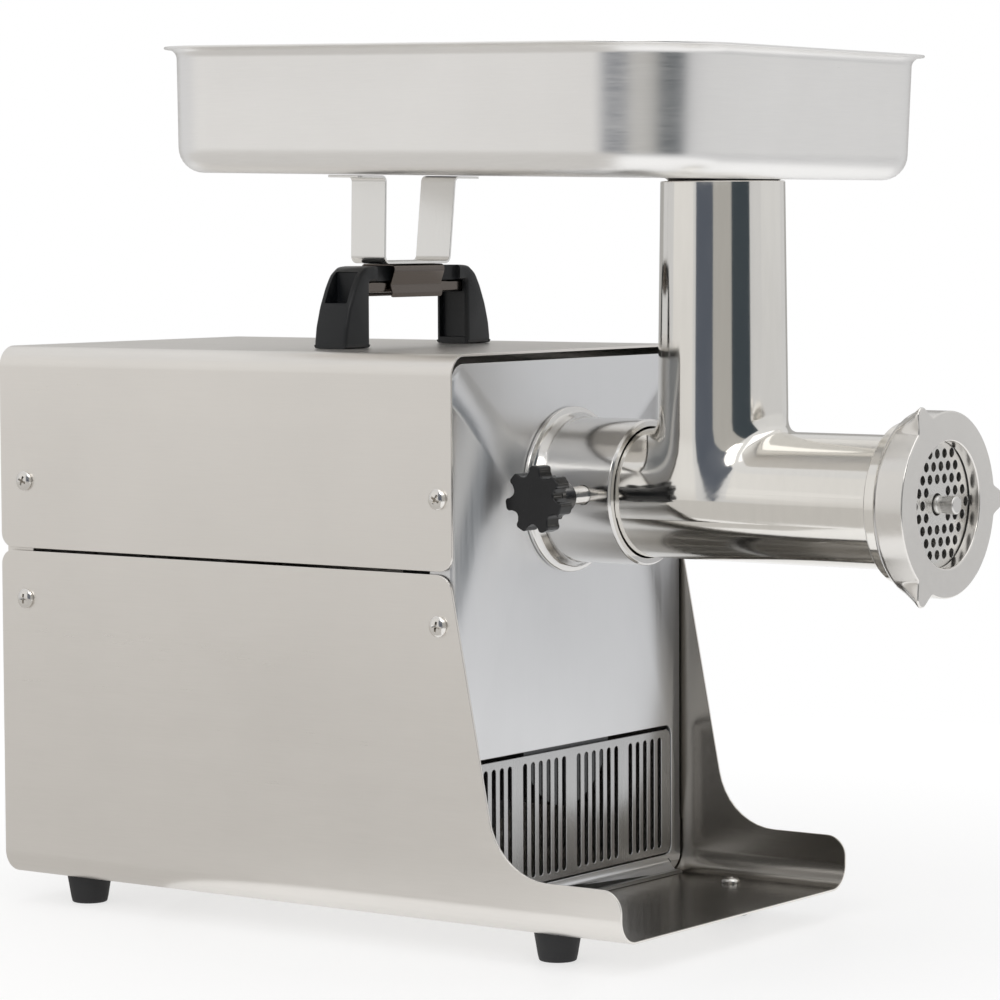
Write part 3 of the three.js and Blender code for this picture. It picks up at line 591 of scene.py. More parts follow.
def banded(name, colour, dark, scale, way, rough):
    """Stacked sheets or wound wire: bands across one axis."""
    n = Nodes(name)
    bands = n.add("ShaderNodeTexWave", {"Vector": n.place, "Scale": scale, "Distortion": 0.4},
                  bands_direction=way).outputs["Fac"]
    base = n.colours(bands, dark, colour)
    return n.finish(Base_Color=base, Metallic=1.0, Roughness=n.span(bands, rough + 0.1, rough, 0, 1),
                    Normal=n.bump(bands, 0.5, 0.0003))


SHEET_STEEL = steel("brushed_sheet", (0.80, 0.775, 0.74), 0.33, (1500, 40, 1500), depth=0.06)
# A darker copy of the sheet steel for the lip's inner faces: painted shade inside the lip.
LIP_SHADE_STEEL = steel("lip_inside", (0.37, 0.35, 0.32), 0.22, (1500, 60, 1500), depth=0.04, waves=0.03)
PANEL_STEEL = steel("polished_panel", (0.75, 0.755, 0.765), 0.34, (1200, 1200, 30), depth=0.012, waves=0.02)
# A darker copy of the panel steel for the panel's bent toe: painted shade near the floor.
TOE_SHADE_STEEL = steel("panel_toe_painted_shade", (0.5, 0.495, 0.485), 0.36, (1200, 1200, 60), depth=0.04)
GRILLE_STEEL = steel("vent_steel", (0.47, 0.47, 0.472), 0.24, (1200, 1200, 30), depth=0.06)
HEAD_STEEL = steel("polished_head", (0.85, 0.83, 0.79), 0.1, (300, 300, 40), depth=0.03, waves=0.06)
COLLAR_STEEL = steel("polished_collar", (0.72, 0.71, 0.695), 0.15, (500, 60, 500), depth=0.05, waves=0.03)
PLATE_STEEL = steel("plate_steel", (0.74, 0.73, 0.71), 0.3, (900, 900, 900), depth=0.12)
CAST_STEEL = steel("satin_cast_steel", (0.80, 0.78, 0.75), 0.2, (300, 300, 300), depth=0.05, waves=0.04)
TRAY_STEEL = steel("satin_tray", (0.9, 0.89, 0.875), 0.33, (60, 60, 1400), depth=0.05)
BRACKET_STEEL = steel("bracket_steel", (0.82, 0.815, 0.8), 0.22, (900, 900, 60), depth=0.015, mottle=0.03)
CLIP_STEEL = steel("clip_steel", (0.14, 0.122, 0.11), 0.16, (40, 900, 900), depth=0.03)
SCREW_STEEL = steel("screw_steel", (0.78, 0.76, 0.73), 0.16, (900, 900, 900), depth=0.08)
BLACK_PLASTIC = plastic("black_plastic", (0.005, 0.006, 0.0075), 0.33, depth=0.08)
KNOB_PLASTIC = plastic("knob_plastic", (0.004, 0.0042, 0.005), 0.2, depth=0.05)
BLACK_RUBBER = plastic("black_rubber", (0.014, 0.014, 0.015), 0.62, grain=1800)
RED_PLASTIC = plastic("red_plastic", (0.45, 0.02, 0.015), 0.28)
ALUMINIUM = casting("cast_aluminium", (0.2, 0.205, 0.21), 0.5)
GEAR_STEEL = steel("gear_steel", (0.5, 0.51, 0.53), 0.3, (400, 400, 400))
LAMINATION = banded("lamination", (0.32, 0.33, 0.35), (0.12, 0.12, 0.13), 300.0, "Y", 0.4)
COPPER = banded("copper_wire", (0.72, 0.36, 0.16), (0.3, 0.12, 0.05), 500.0, "X", 0.3)


# ---------------------------------------------------------------- body sheets
EDGE = 0.28
LEAN_FOOT, LEAN_TOP = -25.2, 1.6       # where the base's front edge line meets the lip and the seam
LIP_RISE = 39.0


PANEL_WIDE = HALF_W - SHEET - 1.1      # half width of the front and rear panels between their flanges
PANEL_FLOOR = FLOOR_Z + SHEET + 0.3
FLANGE_LOW, FLANGE_HIGH = 40, 252


def base_sheet():
    bend = 12.0
    line = path([(-HALF_W, SEAM_LOW), (-HALF_W, FLOOR_Z, bend), (HALF_W, FLOOR_Z, bend), (HALF_W, SEAM_LOW)],
                closed=False, fineness=12)
    place = bent_xz(line)
    full = place.length
    drop = SEAM_LOW - LIP_RISE
    outline = path([(0, BODY_LEN, 7), (0, LEAN_TOP, 9), (drop, LEAN_FOOT, 32), (drop, LIP_Y, 10),
                    (full - drop, LIP_Y, 10), (full - drop, LEAN_FOOT, 32), (full, LEAN_TOP, 9),
                    (full, BODY_LEN, 7)], fineness=10)
    holes = []
    for y in SCREW_Y:
        for u in (SEAM_LOW - SCREW_LOW_Z, full - SEAM_LOW + SCREW_LOW_Z):
            holes.append(circle(u, y, 2.8))
    for y in FOOT_Y:
        for x in (-FOOT_X, FOOT_X):
            holes.append(circle(full / 2 + x, y, 2.6))
    skin = Skin()
    lip_end = 8.0
    slab(skin, [outline, *holes], -SHEET, 0, EDGE, place, [*place.cuts, (1, lip_end)])
    sheet = piece("base_sheet", skin, SHEET_STEEL, "machine", ["base_shell"])
    near_wall, near_floor = HALF_W - SHEET + 0.2, FLOOR_Z + SHEET - 0.2

    # Picks the lip's inner faces in front of the panel, which carry the painted shade.
    def in_shaded_lip(centre, normal):
        inward = normal.x * centre.x + normal.z * (centre.z - LIP_RISE) < 0
        in_front = centre.y < FRONT + lip_end
        return inward and in_front and abs(centre.x) < near_wall and centre.z > near_floor

    second_finish(sheet, LIP_SHADE_STEEL, in_shaded_lip)


def cover_sheet():
    bend = 10.0
    line = path([(HALF_W, SEAM_HIGH), (HALF_W, TOP_Z, bend), (-HALF_W, TOP_Z, bend), (-HALF_W, SEAM_HIGH)],
                closed=False, fineness=12)
    place = bent_xz(line)
    full = place.length
    outline = path([(0, 0, 7), (0, BODY_LEN, 7), (full, BODY_LEN, 7), (full, 0, 7)])
    rise = SCREW_HIGH_Z - SEAM_HIGH
    holes = [circle(u, y, 2.8) for y in SCREW_Y for u in (rise, full - rise)]
    skin = Skin()
    slab(skin, [outline, *holes], -SHEET, 0, EDGE, place, place.cuts)
    piece("cover_sheet", skin, SHEET_STEEL, "machine", ["top_cover"])


def panel_fold(y, back, way):
    """Plate across the body at Y = way * y with a flange bent inward at each side; u = 0 at its middle."""
    half = HALF_W - SHEET - 0.9
    reach = y + back
    line = path([(-half, reach), (-half, y, 1.4), (half, y, 1.4), (half, reach)], closed=False, fineness=5)
    fold = Bend(line, lambda p: Vector((p.x, way * p.y, 0)), lambda v: Vector((0, FRONT, v)),
                Vector((0, 0, 1)))
    return fold, fold.length / 2


def panel_side(half_length):
    """The right edge of a panel, from its foot to its top, with the flange standing out of it."""
    flange = half_length - 0.5
    return [(PANEL_WIDE, PANEL_FLOOR, 10), (PANEL_WIDE, FLANGE_LOW, 0.3), (flange, FLANGE_LOW, 2),
            (flange, FLANGE_HIGH, 2), (PANEL_WIDE, FLANGE_HIGH, 0.3), (PANEL_WIDE, PANEL_TOP, 9)]


def front_panel():
    fold, half_length = panel_fold(PANEL_Y, 13.0, 1)
    toe_flat = HALF_W - 12.0
    floor = PANEL_FLOOR
    bend = 4.6
    toe_path = path([(0, floor + bend + 60), (0, floor + SHEET, bend - SHEET), (-bend - 1.3, floor + SHEET)],
                    closed=False, fineness=6)
    toe = Bend(toe_path, lambda p: Vector((0, p.x + PANEL_Y, p.y)), lambda v: Vector((v, FRONT, 0)),
               Vector((1, 0, 0)))
    top_of_toe = toe.runs[0][1]

    def place(u, v):
        if abs(u) < toe_flat + 0.1 and v < floor + bend:
            origin, down, across, out = toe(top_of_toe + floor + bend - v, u)
            return origin, across, -down, out
        return fold(u + half_length, v)

    low = floor + bend - (toe.length - top_of_toe)
    slit = toe_flat + 0.5
    side = [(toe_flat, low, 0.4), (toe_flat, floor + bend + 0.4, 0), (slit, floor + bend + 0.4, 0),
            (slit, floor, 0.4), *panel_side(half_length)]
    outline = path([*side, *mirrored(side)])
    vent = round_rect(-VENT_X - 0.8, VENT_X + 0.8, VENT_LOW - 0.9, VENT_HIGH + 1.9, 4.8)
    collar = circle(0, AXIS_Z, COLLAR_R + 0.4, 72)
    cuts = [(0, u - half_length) for _, u in fold.cuts]
    cuts += [(1, floor + bend - (run[0] - top_of_toe) - 0.004) for run in toe.runs[1:]]
    skin = Skin()
    slab(skin, [outline, vent, collar], -SHEET, 0, EDGE, place, cuts)
    plate = piece("front_plate", skin, PANEL_STEEL, "machine", ["front_panel"])
    # The toe below the bend takes the darker steel: painted shade.
    second_finish(plate, TOE_SHADE_STEEL, lambda centre, normal: centre.z < floor + bend)


def vent_grille():
    pitch, space, width = 6.35, 12.2, 3.2
    groups = [5, 6, 6, 5]
    span = sum((n - 1) * pitch for n in groups) + (len(groups) - 1) * space
    slots, x = [], -span / 2
    for count in groups:
        for _ in range(count):
            slots.append(round_rect(x - width / 2, x + width / 2, VENT_LOW + 3.2, VENT_HIGH - 3.6,
                                    width / 2 - 0.02, fineness=4))
            x += pitch
        x += space - pitch

    def inset(by, radius):
        return round_rect(-VENT_X + by, VENT_X - by, VENT_LOW + by, VENT_HIGH - by, radius)

    skin = Skin()
    slab(skin, [inset(0, 4.2), *slots], 0, 1.1, 0.3, across_y(PANEL_Y))
    rim = round_rect(-VENT_X - 4, VENT_X + 4, VENT_LOW - 0.2, VENT_HIGH - 0.1, 3)
    window = inset(1.5, 2.5)
    slab(skin, [rim, window], 1.52, 2.5, 0.2, across_y(PANEL_Y))
    slab(skin, [inset(0.3, 3.8), window], 1.1, 1.52, 0.01, across_y(PANEL_Y))
    piece("vent_plate", skin, GRILLE_STEEL, "machine", ["vent_grille"])


def rear_panel():
    fold, half_length = panel_fold(-REAR_Y, 18.0, -1)
    side = panel_side(half_length)
    outline = path([*side, *mirrored(side)])
    slots = []
    for column in range(2):
        for row in range(6):
            x, z = -78 + column * 48, 60 + row * 13
            slots.append(round_rect(x, x + 40, z, z + 4, 1.95, fineness=4))
    window = block(SWITCH_X, SWITCH_Z, 10.3, 14.3, 0.6)
    holes = [circle(SWITCH_X, BREAKER_Z, 6.3, 28), circle(SWITCH_X, GLAND_Z, 8.3, 32)]
    cuts = [(0, u - half_length) for _, u in fold.cuts]
    skin = Skin()
    slab(skin, [outline, window, *slots, *holes], -SHEET, 0, EDGE,
         lambda u, v: fold(u + half_length, v), cuts)
    piece("rear_plate", skin, SHEET_STEEL, "machine", ["rear_panel"])


# ---------------------------------------------------------------- screws and feet
def cross_outline(arm, half):
    corners = []
    for k in range(4):
        for u, v in ((arm, -half), (arm, half), (half, half)):
            corners.append(tuple(turn_by(Vector((u, v)), k * math.pi / 2)))
    return corners


def cross_screw(skin, origin, axis, seat, radius, rise, shank, grip, twist=0.3):
    """Pan-head screw with a tapered cross recess. seat is where its head rests along the axis."""
    axis = Vector(axis)
    first = axis.orthogonal().normalized()
    second = axis.cross(first)
    first, second = (first * math.cos(twist) + second * math.sin(twist),
                     second * math.cos(twist) - first * math.sin(twist))
    base = Vector(origin) + Vector((0, FRONT, 0)) + axis * seat
    low = rise * 0.42

    def dome(u, v):
        r = math.hypot(u, v) / radius
        height = low + (rise - low) * (1 - r ** 3)
        slope = -(rise - low) * 3 * r ** 2 / radius
        out = Vector((u, v)).normalized() if r > 1e-6 else Vector((0, 0))
        normal = axis - (first * out.x + second * out.y) * slope
        return base + first * u + second * v + axis * height, normal.normalized()

    angles = round_angles(40)
    shares = (1, 0.93, 0.85, 0.75, 0.66)
    rings = [[tuple(turn_by(Vector((radius * f, 0)), a)) for a in angles] for f in shares]
    cross = cross_outline(radius * 0.5, radius * 0.12)
    points, faces = triangles([rings[0], cross], extra=rings[1:])
    spots = [dome(*p) for p in points]
    for f in faces:
        skin.patch([spots[i] for i in f])
    bottom = rise - radius * 0.42
    deep = [base + first * u * 0.45 + second * v * 0.6 + axis * bottom for u, v in cross]
    top = [dome(*p)[0] for p in cross]
    for i, p in enumerate(top):
        j = (i + 1) % len(top)
        wall = (top[j] - p).cross(deep[i] - p).normalized()
        middle = sum((q - base for q in (p, top[j])), Vector())
        inward = -(middle - axis * middle.dot(axis))
        wall = wall if wall.dot(inward) > 0 or abs(wall.dot(inward)) < 1e-6 else -wall
        skin.face([p, top[j], deep[j], deep[i]], [wall] * 4)
    flat_face(skin, [deep], axis)
    side = path([(radius, low), (radius, 0, 0.3), (shank, 0), (shank, -grip, 0.4), (0, -grip)], closed=False,
                fineness=3)
    turned(skin, flipped(side), Vector(origin) + axis * seat, axis, first=first, whole=False, angles=angles)


def screw_piece(node, skin):
    piece(node.replace("screw", "bolt"), skin, SCREW_STEEL, "machine", [node])


def screws():
    for side, sign in (("left", -1), ("right", 1)):
        for end, y in zip(("front", "rear"), SCREW_Y):
            for level, z in (("upper", SCREW_HIGH_Z), ("lower", SCREW_LOW_Z)):
                node = f"side_screw_{level}_{end}_{side}"
                skin = Skin()
                cross_screw(skin, (0, y, z), (sign, 0, 0), HALF_W + 0.1, 4.75, 2.45, 2.3, 8.9,
                            0.5 + y * 0.013 + z * 0.021)
                screw_piece(node, skin)
        for end, y in zip(("front", "rear"), FOOT_Y):
            node = f"foot_screw_{end}_{side}"
            skin = Skin()
            seat = FLOOR_Z + SHEET + 0.1
            cross_screw(skin, (sign * FOOT_X, y, 0), (0, 0, 1), seat, 4.5, 2.5, 2.0, 8.0, 0.9)
            screw_piece(node, skin)
            foot(f"foot_{end}_{side}", sign * FOOT_X, y)


def foot(node, x, y):
    top = FLOOR_Z - 0.1
    profile = path([(0, 0), (8.5, 0, 0.9), (9.2, 3.0, 6), (11, top, 0.7), (2.4, top), (2.4, 5), (0, 5)],
                   closed=False, fineness=5)
    skin = Skin()
    turned(skin, profile, (x, y, 0), (0, 0, 1), 56)
    piece(node.replace("foot", "rubber_foot"), skin, BLACK_RUBBER, "machine", [node])


# ---------------------------------------------------------------- feed head
WALL_BACK = -14.0                      # where the tube walls of head and collar end towards the body


def throat_angles(tube, throat):
    """Angles round the throat whose rim points lie at even steps round the tube."""
    widest = math.degrees(math.asin(throat / tube))
    steps = [k for k in range(0, 90, 4) if k < widest - 2] + [widest - k for k in (1.4, 0.7, 0.3, 0.08)]
    quarter = [math.acos(tube * math.sin(math.radians(k)) / throat) for k in steps] + [0.0]
    quarter.sort()
    half = quarter + [math.pi - a for a in reversed(quarter[:-1])]
    return half + [-a for a in reversed(half[1:-1])]


TEE_CENTRE = Vector((0, FRONT + THROAT_Y, AXIS_Z))
TEE_ROOT = 40.5                        # height above the feed axis where the throat's wall starts to taper
TEE_BLEND = 9.0                        # width over which barrel and throat melt into each other
TEE_FADE = 18.0                        # how slowly the throat lets go of the skin below the feed axis
TEE_PROBE = 0.01                       # step for slopes
TEE_STEPS = [Vector((TEE_PROBE, 0, 0)), Vector((0, TEE_PROBE, 0)), Vector((0, 0, TEE_PROBE))]
THROAT_RIM = THROAT_TOP - 1.0          # where the throat's rounded lip starts


def tee_gap(p):
    """How far a point about the tee's centre is outside the smooth union of barrel and throat."""
    barrel = math.hypot(p.x, p.z) - HEAD_R
    taper = min(max((p.z - TEE_ROOT) / (THROAT_RIM - AXIS_Z - TEE_ROOT), 0.0), 1.0)
    throat = math.hypot(p.x, p.y) - THROAT_ROOT - (THROAT_R - THROAT_ROOT) * taper
    throat += min(p.z, 0.0) ** 2 / TEE_FADE
    near = max(TEE_BLEND - abs(barrel - throat), 0.0) / TEE_BLEND
    return min(barrel, throat) - near * near * TEE_BLEND / 4


def tee_shape(spot):
    """A point moved onto the tee's skin, and the normal there."""
    p = spot - TEE_CENTRE
    for _ in range(4):
        slope = Vector([(tee_gap(p + step) - tee_gap(p - step)) / (2 * TEE_PROBE) for step in TEE_STEPS])
        p -= slope * (tee_gap(p) / slope.length_squared)
    return TEE_CENTRE + p, slope.normalized()


def on_tube(angles, radius, tube):
    """Points about the tee's centre where a circle round the throat's axis drops onto a tube."""
    return [polar(radius, a, math.sqrt(tube ** 2 - (radius * math.cos(a)) ** 2)) for a in angles]


def neighbours(items):
    return zip(items, items[1:] + items[:1])


def tee_walls(skin, angles, balls, fillet, reach):
    """The rounded corner between barrel and throat, and the throat's wall above it."""
    steps = 8
    for (a, ball), (b, other) in neighbours(list(zip(angles, balls))):
        rows = []
        for angle, c in ((a, ball), (b, other)):
            start = Vector((-math.cos(angle), -math.sin(angle), 0))
            end = -Vector((c.x, 0, c.z)) / reach
            rows.append([c + start.slerp(end, t / steps) * fillet for t in range(steps + 1)])
        for t in range(steps):
            four = (rows[0][t], rows[0][t + 1], rows[1][t + 1], rows[1][t])
            skin.patch([tee_shape(TEE_CENTRE + p) for p in four])
        for low, high in ((0.0, 0.08), (0.08, 0.2), (0.2, 0.4), (0.4, 0.65), (0.65, 1.0)):
            four = [(w, start + (TEE_ROOT - start) * share) for w, start, share in
                    ((a, ball.z, low), (b, other.z, low), (b, other.z, high), (a, ball.z, high))]
            skin.patch([tee_shape(TEE_CENTRE + polar(THROAT_ROOT, w, z)) for w, z in four])
        top = THROAT_RIM - AXIS_Z
        four = ((THROAT_ROOT, a, TEE_ROOT), (THROAT_ROOT, b, TEE_ROOT), (THROAT_R, b, top),
                (THROAT_R, a, top))
        skin.patch([(TEE_CENTRE + polar(r, w, z), polar(1, w, 0.006)) for r, w, z in four])


def throat_lip(skin, outer, inner):
    """The rounded rim on top of the throat."""
    throat, lip = (0, THROAT_Y, 0), 0.6
    for radius, angles, way in ((THROAT_R, outer, 1), (THROAT_BORE, inner, -1)):
        bend = path([(radius, THROAT_RIM), (radius, THROAT_TOP, lip), (radius - way * lip, THROAT_TOP)],
                    closed=False, fineness=3)
        turned(skin, bend if way > 0 else flipped(bend), throat, (0, 0, 1), first=(1, 0, 0), whole=False,
               angles=angles)
    flat_face(skin, [ring_points(throat, (0, 0, 1), (1, 0, 0), r, THROAT_TOP, w) for r, w in
                     ((THROAT_R - lip, outer), (THROAT_BORE + lip, inner))], (0, 0, 1))


def head_casing():
    skin = Skin()
    fillet, flare_y, mouth_y = 7.5, -172, -186
    reach, spread = HEAD_R + fillet, THROAT_ROOT + fillet
    outer = throat_angles(reach, spread)
    balls = on_tube(outer, spread, reach)
    tee_walls(skin, outer, balls, fillet, reach)
    contact = [Vector((c.x * HEAD_R / reach, THROAT_Y + c.y, c.z * HEAD_R / reach)) for c in balls]
    barrel = tube_patch(skin, HEAD_R, flare_y, WALL_BACK, [contact], around=(0.8, 2, 4, 6.5, 9.5, 13),
                        shape=tee_shape)

    inner = throat_angles(BORE_R, THROAT_BORE)
    drop = on_tube(inner, THROAT_BORE, BORE_R)
    for p, q in neighbours(drop):
        four = [p, q, Vector((q.x, q.y, THROAT_RIM - AXIS_Z)), Vector((p.x, p.y, THROAT_RIM - AXIS_Z))]
        skin.patch([(TEE_CENTRE + c, Vector((-c.x, -c.y, 0))) for c in four])
    bore = tube_patch(skin, BORE_R, mouth_y, WALL_BACK, [[p + Vector((0, THROAT_Y, 0)) for p in drop]],
                      inward=True)
    throat_lip(skin, outer, inner)

    back, front = -8.0, -194.0
    about_feed(skin, [(HEAD_R, WALL_BACK), (HEAD_R, back, 1), (HEAD_R - 2, back)], barrel)
    about_feed(skin, [(13, back), (11, back, 0.5), (11, -12, 0.3), (BORE_R, -12, 1.5), (BORE_R, WALL_BACK)],
               bore)
    feed_face(skin, back, (HEAD_R - 2, barrel), (13, bore), 1)
    about_feed(skin, [(BORE_R, mouth_y), (BORE_R, -188.6, 0.3), (31.3, -188.6, 0.3), (31.3, front, 0.4),
                      (33, front)], bore)
    about_feed(skin, [(35, front), (36.2, front, 0.6), (36.2, -178, 1), (HEAD_R, -178, 3), (HEAD_R, flare_y)],
               barrel)
    feed_face(skin, front, (35, barrel), (33, bore), -1)
    piece("feed_head", skin, HEAD_STEEL, "machine", ["head_casing"])


def head_collar():
    skin = Skin()
    bore = HEAD_R + 0.6
    drop = KNOB_Z - AXIS_Z
    count, r = 24, 4.7
    rims = []
    for radius in (COLLAR_R, bore):
        rim = []
        for b in round_angles(count):
            z = drop + r * math.sin(b)
            rim.append(Vector((-math.sqrt(radius ** 2 - z ** 2), KNOB_Y + r * math.cos(b), z)))
        rims.append(rim)
    nose = COLLAR_Y
    outer = tube_patch(skin, COLLAR_R, nose + 3, WALL_BACK, [rims[0]])
    inner = tube_patch(skin, bore, nose + 3, WALL_BACK, [rims[1]], inward=True)
    ways = [Vector((0, -math.cos(b), -math.sin(b))) for b in round_angles(count)]
    for k in range(count):
        j = (k + 1) % count
        skin.face([Vector((0, FRONT, AXIS_Z)) + p for p in (rims[0][k], rims[0][j], rims[1][j], rims[1][k])],
                  [ways[k], ways[j], ways[j], ways[k]])
    about_feed(skin, [(31.4, nose), (33.1, nose, 0.35), (COLLAR_R, nose + 1.1, 0.8), (COLLAR_R, nose + 3)],
               outer)
    about_feed(skin, [(bore, nose + 3), (bore, nose, 0.35), (31.0, nose)], inner)
    feed_face(skin, nose, (31.4, outer), (31.0, inner), -1)
    about_feed(skin, [(COLLAR_R, WALL_BACK), (COLLAR_R, -5.2, 4.5), (36.3, -1.3, 3.2), (39, -0.5, 0.9),
                      (39, 1.2), (33.9, 1.2), (33.9, 4.2), (32, 4.2)], outer)
    about_feed(skin, [(14, 4.2), (13, 4.2), (13, -1.8), (17.4, -1.8), (17.4, -6), (bore, -6),
                      (bore, WALL_BACK)], inner)
    feed_face(skin, 4.2, (32, outer), (14, inner), 1)
    piece("neck_collar", skin, COLLAR_STEEL, "machine", ["head_collar"])


def lug_rise(angle):
    """How far the ring nut's lug stands out at an angle, as a share of its height."""
    third = 2 * math.pi / 3
    away = abs((angle + third / 2) % third - third / 2) * RING_R
    if away < 2.6:
        return 1 - 0.022 * away ** 2
    if away < 7.6:
        top = 1 - 0.022 * 2.6 ** 2
        t = (7.6 - away) / 5.0
        return top * t * t * (1.9 - 0.9 * t)
    return 0.0


RING_EDGE = 0.7
RING_BACK = -185.0
LUG_END = -186.6                       # the lugs fade out from here forward to LUG_FULL
LUG_FULL = RING_Y + 1.2


def ring_point(angle, y):
    """A point on the ring nut's outside, with its lugs."""
    fade = 1.0 if y < LUG_FULL else max(0.0, (LUG_END - y) / (LUG_END - LUG_FULL)) ** 1.25
    body = RING_R if y < -188 else RING_R - 2.1 * ((y + 188) / 3) ** 1.6
    r = body + 8.6 * lug_rise(angle) * fade
    return Vector((r * math.cos(angle), FRONT + y, AXIS_Z + r * math.sin(angle)))


def ring_normal(angle, y):
    along = ring_point(angle, y + 0.05) - ring_point(angle, y - 0.05)
    about = ring_point(angle + 0.002, y) - ring_point(angle - 0.002, y)
    n = about.cross(along).normalized()
    return n if n.dot(Vector((math.cos(angle), 0, math.sin(angle)))) > 0 else -n


def ring_row(angle, ys):
    """(point, normal) corners from the front face to the back at one angle."""
    front = ring_normal(angle, RING_Y + RING_EDGE)
    front = Vector((front.x, 0, front.z)).normalized()
    tip = ring_point(angle, RING_Y + RING_EDGE)
    row = []
    for step in range(4):
        w = math.pi / 2 * step / 3
        row.append((tip - front * RING_EDGE * (1 - math.sin(w)) - Vector((0, RING_EDGE * math.cos(w), 0)),
                    front * math.sin(w) - Vector((0, math.cos(w), 0))))
    row += [(ring_point(angle, y), ring_normal(angle, y)) for y in ys[1:]]
    out = Vector((math.cos(angle), 0, math.sin(angle)))
    row.append((row[-1][0] + Vector((0, 0.3, 0)) - out * 0.3, (out + Vector((0, 1, 0))).normalized()))
    return row


def ring_nut():
    skin = Skin()
    ys = [RING_Y + RING_EDGE + k * 0.5 for k in range(2)]
    ys += [LUG_FULL + (LUG_END - LUG_FULL) * k / 14 for k in range(15)]
    ys += [LUG_END + 0.4, RING_BACK - 0.6, RING_BACK - 0.3]
    ys = sorted({round(y, 4) for y in ys})
    rings = [ring_row(a, ys) for a in round_angles(450)]
    for here, there in neighbours(rings):
        for i in range(len(here) - 1):
            skin.patch([here[i], here[i + 1], there[i + 1], there[i]])
    angles = round_angles(120)
    axis, mouth, inside, seat = (0, 0, AXIS_Z), 28.1, 36.7, 195.5
    profile = path([(mouth + 2, -RING_Y), (mouth, -RING_Y, 0.9), (mouth, seat, 0.2), (inside, seat, 0.3),
                    (inside, -RING_BACK, 0.3), (inside + 0.8, -RING_BACK)], closed=False, fineness=4)
    turned(skin, profile, axis, (0, -1, 0), first=(1, 0, 0), whole=False, angles=angles)
    for level, radius, row, way in ((RING_Y, mouth + 2, 0, -1), (RING_BACK, inside + 0.8, -1, 1)):
        outline = [r[row][0].copy() for r in rings]
        rim = ring_points(axis, (0, -1, 0), (1, 0, 0), radius, -level, angles)
        for p in outline:
            p.y = FRONT + level
        flat_face(skin, [outline, rim], (0, way, 0))
    piece("lock_ring", skin, CAST_STEEL, "ring_nut", ["ring_nut"])


def grinding_plate():
    pitch = 6.45
    holes = [circle(0, AXIS_Z, 5, 32)]
    for row in range(-4, 5):
        for column in range(-5, 6):
            x = (column + (0.5 if row % 2 else 0)) * pitch
            z = row * pitch * math.sqrt(3) / 2
            if pitch * 1.2 < math.hypot(x, z) < 26.6:
                holes.append(circle(x, AXIS_Z + z, 2.15, 18))
    skin = Skin()
    slab(skin, [circle(0, AXIS_Z, 31, 72), *holes], -195, -189, 0.2, across_y(0), fineness=2)
    piece("hole_plate", skin, PLATE_STEEL, "machine", ["grinding_plate"])


def feed_screw():
    skin = Skin()
    profile = path([(0, STUD_TIP), (4.1, STUD_TIP, 0.9), (4.1, -198.6, 0.3), (3.6, -198.3, 0.3),
                    (3.6, -196.9, 0.3), (4.1, -196.2, 0.3), (4.1, -188.9), (5.6, -188.9), (5.6, -181),
                    (12.5, -180.5, 0.5), (9, -60), (9, -22, 0.5), (10.4, -22, 0.4), (10.4, -7.8, 0.4),
                    (6, -7.8), (6, 4.4, 0.5), (0, 4.4)], closed=False, fineness=4)
    turned(skin, profile, (0, 0, AXIS_Z), (0, 1, 0), 48)
    turns, count = 3.75, 270
    rows = []
    for i in range(count + 1):
        t = i / count
        a = turns * 2 * math.pi * t
        out = Vector((math.cos(a), 0, math.sin(a)))
        middle = Vector((0, FRONT - 177 + 156 * t, AXIS_Z))
        section = [(8.6, -3.0), (24.4, -1.5), (25.1, -0.9), (25.1, 0.9), (24.4, 1.5), (8.6, 3.0)]
        normals = [(0.1, -1), (0.35, -0.9), (1, -0.2), (1, 0.2), (0.35, 0.9), (0.1, 1)]
        rows.append([(middle + out * r + Vector((0, dy, 0)), out * nr + Vector((0, ny, 0)))
                     for (r, dy), (nr, ny) in zip(section, normals)])
    for here, there in zip(rows, rows[1:]):
        for i in range(6):
            j = (i + 1) % 6
            four = [here[i], here[j], there[j], there[i]]
            normals = [c[1] for c in four] if j else [-Vector((c[1].x, 0, c[1].z)) for c in four]
            skin.face([c[0] for c in four], normals)
    for row, way in ((rows[0], -1), (rows[-1], 1)):
        a = math.atan2(row[0][0].z - AXIS_Z, row[0][0].x)
        skin.face([c[0] for c in row], [Vector((-math.sin(a), 0, math.cos(a))) * way] * 6)
    piece("feed_screw", skin, PLATE_STEEL, "drive", ["auger"])


